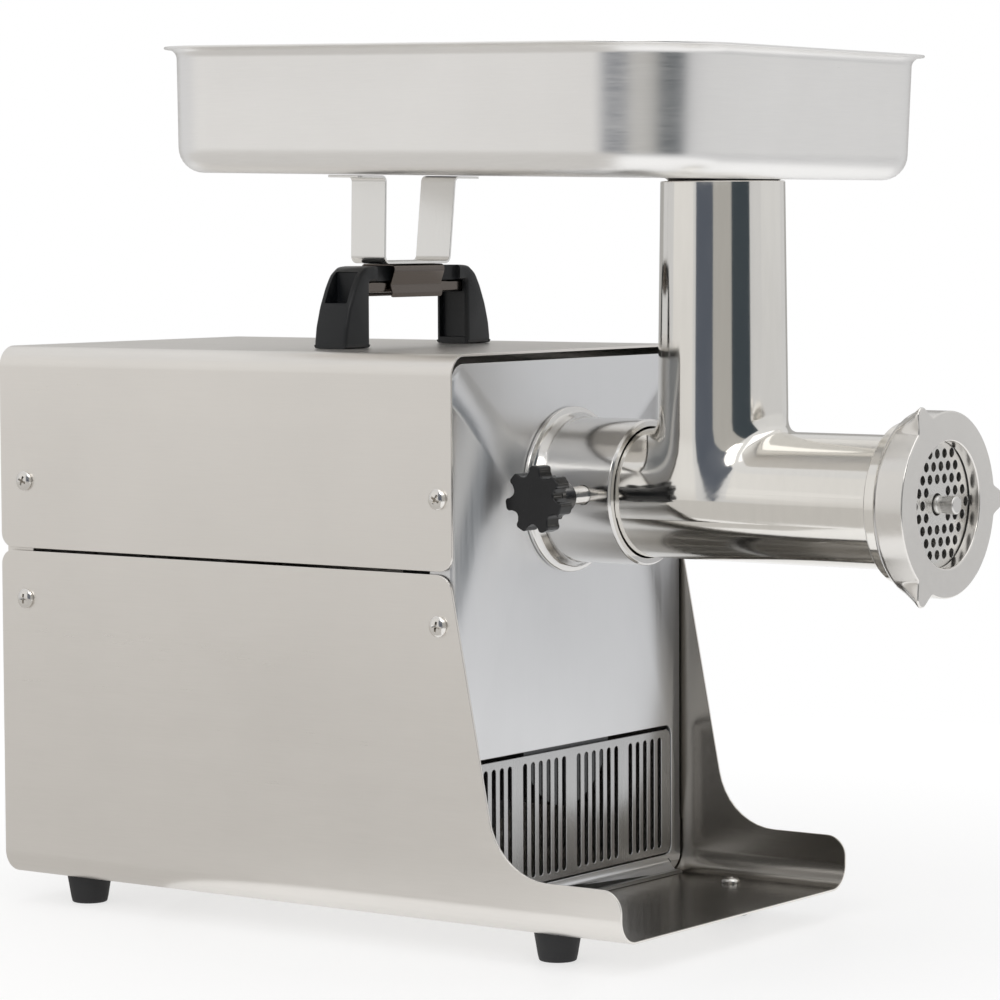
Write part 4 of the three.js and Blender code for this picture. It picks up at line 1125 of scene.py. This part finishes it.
def lock_knob():
    face, lobes = KNOB_FACE, 7
    back, hub_end = face + 9.8, face + 24.9
    corners = []
    lobe = ((10.4, -math.pi / lobes, 2.6), (13.2, -0.215, 1.2), (15.7, -0.2, 1.7), (15.7, 0.2, 1.7),
            (13.2, 0.215, 1.2))
    for i in range(lobes):
        a = (i + 1.8) * 2 * math.pi / lobes
        for r, da, soft in lobe:
            corners.append((KNOB_Y + r * math.cos(a + da), KNOB_Z + r * math.sin(a + da), soft))
    skin = Skin()
    slab(skin, [path(corners, fineness=5)], face, back, 0.7, across_x(0), fineness=3)
    hub = path([(0, back - 2), (11.4, back - 2), (11.4, back + 0.6, 1.0), (7.0, hub_end, 0.9), (0, hub_end)],
               closed=False)
    turned(skin, hub, (0, KNOB_Y, KNOB_Z), (1, 0, 0), 48)
    ribs = [(KNOB_Y + r * math.cos(b), KNOB_Z + r * math.sin(b), 0.8) for i in range(lobes)
            for r, b in ((8.2, (i + 1.3) * 2 * math.pi / lobes), (10.6, (i + 1.8) * 2 * math.pi / lobes))]
    slab(skin, [path(ribs, fineness=3)], back - 1, back + 7.5, 0.9, across_x(0), fineness=3)
    piece("star_knob", skin, KNOB_PLASTIC, "lock_knob", ["lock_knob"])
    stud = Skin()
    ridges = [(0, hub_end - 1.5), (3.6, hub_end - 1.5)]
    x = hub_end - 0.4
    while x < -32.6:
        ridges += [(3.75, x), (4.15, x + 0.4), (4.15, x + 0.6)]
        x += 1.05
    ridges += [(3.4, -32.2), (3.0, -31.3), (0, -31.3)]
    turned(stud, path(ridges, closed=False), (0, KNOB_Y, KNOB_Z), (1, 0, 0), 32)
    piece("knob_stud", stud, SCREW_STEEL, "lock_knob", ())


# ---------------------------------------------------------------- carrying handle
STRAP_LOW, STRAP_HIGH = (c.z for c in box_mm("handle_strap"))
STRAP_HALF = 6.0
STRAP_END = 42.0


def cut_out(obj, cutters):
    """Takes cutter meshes out of a piece for good, then shades it by angle."""
    for k, skin in enumerate(cutters):
        tool = add_object(f"cutter_{k}", skin.mesh(f"cutter_{k}"))
        modifier = obj.modifiers.new(f"cut_{k}", "BOOLEAN")
        modifier.object = tool
        modifier.solver = "EXACT"
        bpy.context.view_layer.update()
        shape = bpy.data.meshes.new_from_object(obj.evaluated_get(bpy.context.evaluated_depsgraph_get()))
        obj.modifiers.clear()
        obj.data = shape
        bpy.data.objects.remove(tool)
    shape = obj.data
    if "custom_normal" in shape.attributes:
        shape.attributes.remove(shape.attributes["custom_normal"])
    shape.polygons.foreach_set("use_smooth", [True] * len(shape.polygons))
    shape.set_sharp_from_angle(angle=math.radians(38))


def box_skin(low, high, edge):
    skin = Skin()
    slab(skin, [round_rect(low[0], high[0], low[2], high[2], edge)], low[1], high[1], edge, across_y(0))
    return skin


def handle_arch():
    foot_z, top = TOP_Z + 0.1, box_mm("handle_arch")[1].z
    corners = [(58.4, foot_z, 0.3), (58.3, 277, 5), (57.3, 284, 16), (54.4, 293.5, 30), (50.2, 302.5, 22),
               (46.3, 308.6, 9), (41, top - 0.4, 7), (36, top, 3)]
    inner = [(-39, foot_z, 0.3), (-39, STRAP_HIGH + 0.3, 1.5), (39, STRAP_HIGH + 0.3, 1.5), (39, foot_z, 0.3)]
    outline = path([*corners, *mirrored(corners), *inner], fineness=7)
    skin = Skin()
    slab(skin, [outline], HANDLE_Y - 9.5, HANDLE_Y + 9.5, 1.7, across_y(0), fineness=4)
    grip = 6.3
    cutters = [box_skin((-33, HANDLE_Y - 14, STRAP_HIGH - 4), (33, HANDLE_Y - grip, top + 6), 1.2),
               box_skin((-33, HANDLE_Y + grip, STRAP_HIGH - 4), (33, HANDLE_Y + 14, top + 6), 1.2)]
    for side in (-1, 1):
        near, far = sorted((side * 43.4, side * 66))
        cutters.append(box_skin((near, HANDLE_Y - 6.6, 295.2), (far, HANDLE_Y + 6.6, 309.9), 0.5))
        near, far = sorted((side * 34, side * 42.4))
        cutters.append(box_skin((near, HANDLE_Y - 7.6, foot_z + 3.2), (far, HANDLE_Y + 7.6, 299.2), 0.5))
    cutters.append(box_skin((-STRAP_END - 0.3, HANDLE_Y - STRAP_HALF - 0.3, STRAP_LOW - 0.3),
                            (STRAP_END + 0.3, HANDLE_Y + STRAP_HALF + 0.3, STRAP_HIGH + 0.25), 0.3))
    arch = piece("handle_bow", skin, BLACK_PLASTIC, "machine", ["handle_arch"])
    cut_out(arch, cutters)
    bar = Skin()
    slab(bar, [round_rect(HANDLE_Y - STRAP_HALF, HANDLE_Y + STRAP_HALF, STRAP_LOW, STRAP_HIGH, 0.9)],
         -STRAP_END, STRAP_END, 0.3, across_x(0))
    piece("handle_bar", bar, CLIP_STEEL, "machine", ["handle_strap"])


# ---------------------------------------------------------------- tray
def tilted(skin):
    """The tray's pieces are drawn level, then leaned about the top of the throat."""
    pivot = Vector((0, FRONT + THROAT_Y, TRAY_Z))
    lean = Matrix.Rotation(TRAY_TILT, 3, "X")
    skin.points = [pivot + lean @ (p - pivot) for p in skin.points]
    skin.normals = [lean @ n for n in skin.normals]
    return skin


def swept(skin, stations, profile, lift):
    """A profile (outward, up) carried round stations (point, outward way) in plan."""
    for (c0, n0), (c1, n1) in neighbours(stations):
        for p0, m0, p1, m1 in profile:
            four = [(c0, n0, p0, m0), (c0, n0, p1, m1), (c1, n1, p1, m1), (c1, n1, p0, m0)]
            skin.patch([(Vector((c.x + n.x * p.x, c.y + n.y * p.x, lift + p.y)),
                         Vector((n.x * m.x, n.y * m.x, m.y))) for c, n, p, m in four])


def tray_pan():
    half, front, rear, corner, turns = 117.0, -48.1, 248.3, 42.0, 20
    flat = corner - 16.0                   # the pan's flat bottom ends this far from the corner's centre
    base = FRONT + THROAT_Y
    stations = []
    for k, (x, y) in enumerate(((1, 0), (1, 1), (-1, 1), (-1, 0))):
        centre = Vector(((half - corner) * x, base + (rear - corner if y else front + corner)))
        for step in range(turns + 1):
            a = math.pi / 2 * (k - 1 + step / turns)
            stations.append((centre, Vector((math.cos(a), math.sin(a)))))
    skin = Skin()
    wall = [(0, 0), (14.6, 0, 12), (16.1, 57.2, 4.5), (22, 57.2, 0.5), (22, 58.3, 0.5), (15.2, 58.3, 5.5),
            (13.6, 1, 11), (0, 1)]
    profile = path([(flat + out, *rest) for out, *rest in wall], closed=False, fineness=8)
    swept(skin, stations, profile, TRAY_Z)
    spout = path([(27.8, 0), (24.4, 0, 3), (24.4, -24, 0.45), (23.2, -24, 0.45), (23.2, 1, 4.2), (27.8, 1)],
                 closed=False, fineness=6)
    angles = round_angles(64)
    throat = (0, THROAT_Y, TRAY_Z)
    back_down = [(b, n, a, m) for a, m, b, n in reversed(spout)]
    turned(skin, back_down, throat, (0, 0, 1), first=(1, 0, 0), whole=False, angles=angles)
    for level, way in ((0, -1), (1, 1)):
        rim = [Vector((c.x + n.x * flat, c.y + n.y * flat, TRAY_Z + level)) for c, n in stations]
        flat_face(skin, [rim, ring_points(throat, (0, 0, 1), (1, 0, 0), 27.8, level, angles)], (0, 0, way))
    piece("food_pan", tilted(skin), TRAY_STEEL, "tray", ["tray_pan"])


def tray_holder():
    top, base = TRAY_Z - 0.3 - SHEET / 2, TRAY_Z - 41.7
    line = path([(-48, top), (-28, top, 2.6), (-28, base, 3.2), (23.5, base, 3.2), (27.5, top, 2.6),
                 (48, top)], closed=False)
    fold = bent_xz(line)
    low, high = THROAT_Y + 170.9, THROAT_Y + 191.3
    skin = Skin()
    slab(skin, [round_rect(0, fold.length, low, high, 2)], -SHEET / 2, SHEET / 2, 0.3, fold, fold.cuts)
    piece("tray_bridge", tilted(skin), BRACKET_STEEL, "tray", ["tray_bracket"])

    centre = (low + high) / 2
    lift = base - SHEET / 2 - 0.2 - 0.45
    leaf = [(9.5, lift, 1.6), (9.7, TRAY_Z - 45.5, 2.5), (7.3, TRAY_Z - 52.4, 1.6), (8.5, TRAY_Z - 56, 1.6),
            (8, TRAY_Z - 58.2, 0)]
    corners = [(centre - y, z, r) for y, z, r in reversed(leaf)] + [(centre + y, z, r) for y, z, r in leaf]
    wrap = Bend(path(corners, closed=False), lambda p: Vector((0, p.x, p.y)), lambda v: Vector((v, FRONT, 0)),
                Vector((1, 0, 0)))
    clip = Skin()
    slab(clip, [round_rect(0, wrap.length, -20.5, 19.5, 1.2)], -0.42, 0.42, 0.2, wrap, wrap.cuts)
    piece("spring_clip", tilted(clip), CLIP_STEEL, "tray", ["tray_clip"])


# ---------------------------------------------------------------- controls on the rear panel
REAR_WAY = {"axis": (0, 1, 0), "first": (0, 0, 1), "count": 40}


def rear_switch():
    x, y, z = SWITCH_X, REAR_Y, SWITCH_Z
    skin = Skin()
    window = block(x, z, 8, 12, 0.8)
    slab(skin, [block(x, z, 11, 15, 1.6), window], y + 0.1, y + 2.6, 0.8, across_y(0), fineness=3)
    slab(skin, [block(x, z, 10, 14, 0.8), window], y - 8, y + 0.1, 0.02, across_y(0))
    slab(skin, [block(x, z, 10, 14, 0.8)], y - 24, y - 8.02, 0.3, across_y(0))
    piece("switch_frame", skin, BLACK_PLASTIC, "machine", ["switch_body"])
    rocker = Skin()
    side = [(y - 5, z - 4, 1), (y + 1.2, z - 10.4, 0.3), (y + 3.4, z - 10.4, 0.7), (y + 2.2, z, 14),
            (y + 5.2, z + 10.4, 0.7), (y + 1.6, z + 10.6, 0.3), (y - 5, z + 4, 1)]
    slab(rocker, [path(side)], x - 7.6, x + 7.6, 0.5, across_x(0), fineness=3)
    piece("rocker_key", rocker, KNOB_PLASTIC, "rocker", ["switch_rocker"])


def breaker():
    place, y = (SWITCH_X, 0, BREAKER_Z), REAR_Y
    body = Skin()
    turned(body, path([(4.2, y - 15), (6, y - 15), (6, y + 0.1), (8.5, y + 0.1, 0.2), (8.5, y + 1.6, 0.5),
                       (5.6, y + 3, 0.5), (4.2, y + 3, 0.2)]), place, **REAR_WAY)
    piece("breaker_case", body, BLACK_PLASTIC, "machine", ["breaker_body"])
    button = Skin()
    turned(button, path([(0, y - 8), (3.8, y - 8), (3.8, y + 6.4, 0.9), (0, y + 6.4)], closed=False), place,
           **REAR_WAY)
    piece("reset_key", button, RED_PLASTIC, "reset_button", ["breaker_button"])


def cord_gland():
    x, y = SWITCH_X, REAR_Y
    tip = box_mm("cord_gland")[1].y - FRONT
    gland = Skin()
    turned(gland, path([(4.2, y - 9, 0.4), (8, y - 9, 0.4), (8, y + 0.1), (11.9, y + 0.1, 0.3),
                        (11.9, y + 1.4, 0.3), (10.4, y + 1.5), (10.4, y + 6.2), (11.2, y + 6.3, 0.4),
                        (10.6, y + 9.4, 0.8), (7.6, tip, 0.7), (4.2, tip, 0.5)]), (x, 0, GLAND_Z), **REAR_WAY)
    hexagon = [(x + 11.9 * math.cos(math.pi * k / 3), GLAND_Z + 11.9 * math.sin(math.pi * k / 3), 0.8)
               for k in range(6)]
    slab(gland, [path(hexagon), circle(x, GLAND_Z, 10.3, 36)], y + 1.5, y + 6.1, 0.4, across_y(0))
    for k in range(12):
        a = math.pi * k / 6
        rib = circle(x + 9.6 * math.cos(a), GLAND_Z + 9.6 * math.sin(a), 1.1, 10)
        slab(gland, [rib], y + 6.5, tip - 3.4, 0.3, across_y(0))
    piece("gland_nut", gland, BLACK_PLASTIC, "machine", ["cord_gland"])


# ---------------------------------------------------------------- inner parts, kept as the frame has them
KEPT = (
    (ALUMINIUM, ("gearbox_housing", "gearbox_cover", "motor_front_bell", "motor_rear_bell", "motor_cradle")),
    (GEAR_STEEL, ("drive_shaft", "output_gear", "layshaft", "motor_shaft", "output_bearing_front",
                  "output_bearing_rear", "layshaft_bearing_front", "layshaft_bearing_rear",
                  "motor_bearing_front", "motor_bearing_rear")),
    (LAMINATION, ("motor_stator", "rotor_core")),
    (COPPER, ("motor_winding_front", "motor_winding_rear")),
    (BLACK_PLASTIC, ("cooling_fan", "run_capacitor")),
    (BLACK_RUBBER, ("shaft_seal",)),
    (PLATE_STEEL, ("cutter_knife",)),
)


def dress_kept_parts():
    for finish, nodes in KEPT:
        for node in nodes:
            mesh = frame["nodes"][node].data
            mesh.materials.clear()
            mesh.materials.append(finish)


base_sheet()
cover_sheet()
front_panel()
vent_grille()
rear_panel()
screws()
head_collar()
head_casing()
ring_nut()
grinding_plate()
feed_screw()
lock_knob()
handle_arch()
tray_pan()
tray_holder()
rear_switch()
breaker()
cord_gland()
dress_kept_parts()


# ---------------------------------------------------------------- studio
CAMERA_PLACE = (-1.5421, -1.1036, 0.3326)
CAMERA_TURN, CAMERA_DOWN, CAMERA_ROLL = -0.94887, 0.069165, -0.0044837
AIM = Vector((0, 0, 0.2))


def camera():
    data = bpy.data.cameras.new("photo_camera")
    data.lens = 143.89
    data.sensor_width = 36
    data.clip_start = 0.05
    data.clip_end = 60
    obj = add_object("photo_camera", data)
    turn = Euler((math.pi / 2 - CAMERA_DOWN, 0, CAMERA_TURN)).to_matrix()
    obj.matrix_world = (Matrix.Translation(CAMERA_PLACE)
                        @ (turn @ Matrix.Rotation(CAMERA_ROLL, 3, "Z")).to_4x4())
    bpy.context.scene.camera = obj


def softbox(name, place, size, power, colour=(1, 1, 1)):
    data = bpy.data.lights.new(name, "AREA")
    data.shape = "RECTANGLE"
    data.size, data.size_y = size
    data.energy = power
    data.color = colour
    obj = add_object(name, data)
    obj.location = place
    obj.rotation_euler = (AIM - Vector(place)).to_track_quat("-Z", "Y").to_euler()


def card(name, bearing, half_angle, near, far, low_shade, high_shade):
    """A studio card seen only in reflections, curved round the object from one (radius, height) edge to
    another. Bearings count from +X towards +Y, in degrees. The shade runs from low to high up the card."""
    steps = 12
    ring = [math.radians(bearing + half_angle * (2 * k / steps - 1)) for k in range(steps + 1)]
    points = [(r * math.cos(a), r * math.sin(a), z) for r, z in (near, far) for a in ring]
    mesh = bpy.data.meshes.new(name)
    count = steps + 1
    mesh.from_pydata(points, [], [(k, k + 1, count + k + 1, count + k) for k in range(steps)])
    n = Nodes(name)
    height = n.add("ShaderNodeSeparateXYZ", {0: n.place}).outputs["Z"]
    colour = n.colours(n.span(height, 0, 1, 0.05, 0.35), low_shade, high_shade)
    n.finish(Base_Color=(0, 0, 0, 1), Roughness=1.0, Specular_IOR_Level=0.0, Emission_Color=colour,
             Emission_Strength=1.0)
    mesh.materials.append(n.material)
    obj = add_object(name, mesh)
    obj.visible_camera = False
    obj.visible_diffuse = False
    obj.visible_shadow = False


def floor():
    mesh = bpy.data.meshes.new("floor")
    radius = 0.8
    ring = [(radius * math.cos(a), radius * math.sin(a), 0) for a in round_angles(96)]
    mesh.from_pydata(ring, [], [tuple(range(len(ring)))])
    n = Nodes("floor")
    flat = n.add("ShaderNodeVectorMath", {0: n.place}, operation="LENGTH").outputs["Value"]
    far = n.span(flat, 0.6, 1, 0.16, 0.75)
    paint = n.colours(n.noise((3, 3, 3)), (0.86, 0.86, 0.86), (0.9, 0.9, 0.9))
    n.finish(Base_Color=n.mix(far, paint, (0, 0, 0, 1)), Roughness=0.55, Specular_IOR_Level=0.2,
             Emission_Color=(1, 1, 1, 1), Emission_Strength=far)
    mesh.materials.append(n.material)
    add_object("floor", mesh)


def world():
    scene = bpy.context.scene
    scene.view_settings.view_transform = "Standard"
    scene.world = bpy.data.worlds.new("studio")
    scene.world.use_nodes = True
    tree = scene.world.node_tree
    shader = tree.nodes["Background"]
    way = tree.nodes.new("ShaderNodeTexCoord").outputs["Generated"]
    height = tree.nodes.new("ShaderNodeSeparateXYZ")
    tree.links.new(way, height.inputs[0])
    ramp = tree.nodes.new("ShaderNodeValToRGB")
    tree.links.new(height.outputs["Z"], ramp.inputs["Fac"])
    ramp.color_ramp.elements[0].position = 0.0
    ramp.color_ramp.elements[0].color = (0.66, 0.66, 0.665, 1)
    ramp.color_ramp.elements[1].position = 0.75
    ramp.color_ramp.elements[1].color = (0.78, 0.78, 0.78, 1)
    seen = tree.nodes.new("ShaderNodeLightPath").outputs["Is Camera Ray"]
    mix = tree.nodes.new("ShaderNodeMix")
    mix.data_type = "RGBA"
    tree.links.new(seen, mix.inputs["Factor"])
    tree.links.new(ramp.outputs["Color"], mix.inputs["A"])
    mix.inputs["B"].default_value = (1, 1, 1, 1)
    tree.links.new(mix.outputs["Result"], shader.inputs["Color"])


camera()
world()
floor()
softbox("overhead", (-0.2, -0.1, 1.9), (1.8, 1.8), 7)
softbox("key", (-1.7, -0.5, 1.3), (1.2, 1.0), 9, (1, 0.985, 0.96))
DUSK = (0.098, 0.112, 0.14)
NIGHT = (0.05, 0.063, 0.074)
MIDDLE = (0.44, 0.43, 0.41)
BACKDROP = (0.42, 0.415, 0.405)
GROUND = (0.58, 0.565, 0.545)
FRONT_WAY = 215.6                      # bearing of the camera
WALL = ((1.8, -0.2), (1.8, 1.6))
card("dark_card_rear", FRONT_WAY - 33, 16, *WALL, DUSK, DUSK)
card("grey_card_middle", FRONT_WAY, 18, (1.85, -0.2), (1.85, 1.6), MIDDLE, MIDDLE)
card("dark_card_front", FRONT_WAY + 31, 16, *WALL, NIGHT, NIGHT)
card("grey_card_back", 35.6, 36, (1.8, 0.0), (1.8, 1.0), BACKDROP, BACKDROP)
card("grey_card_left", 137, 24, *WALL, (0.7, 0.685, 0.665), (0.8, 0.79, 0.775))
card("grey_floor_left", 140, 50, (0.17, 0.001), (1.8, 0.001), GROUND, GROUND)
card("grey_card_right", -48, 27, *WALL, (0.6, 0.6, 0.605), (0.72, 0.72, 0.72))


# ---------------------------------------------------------------- update
bpy.context.view_layer.update()
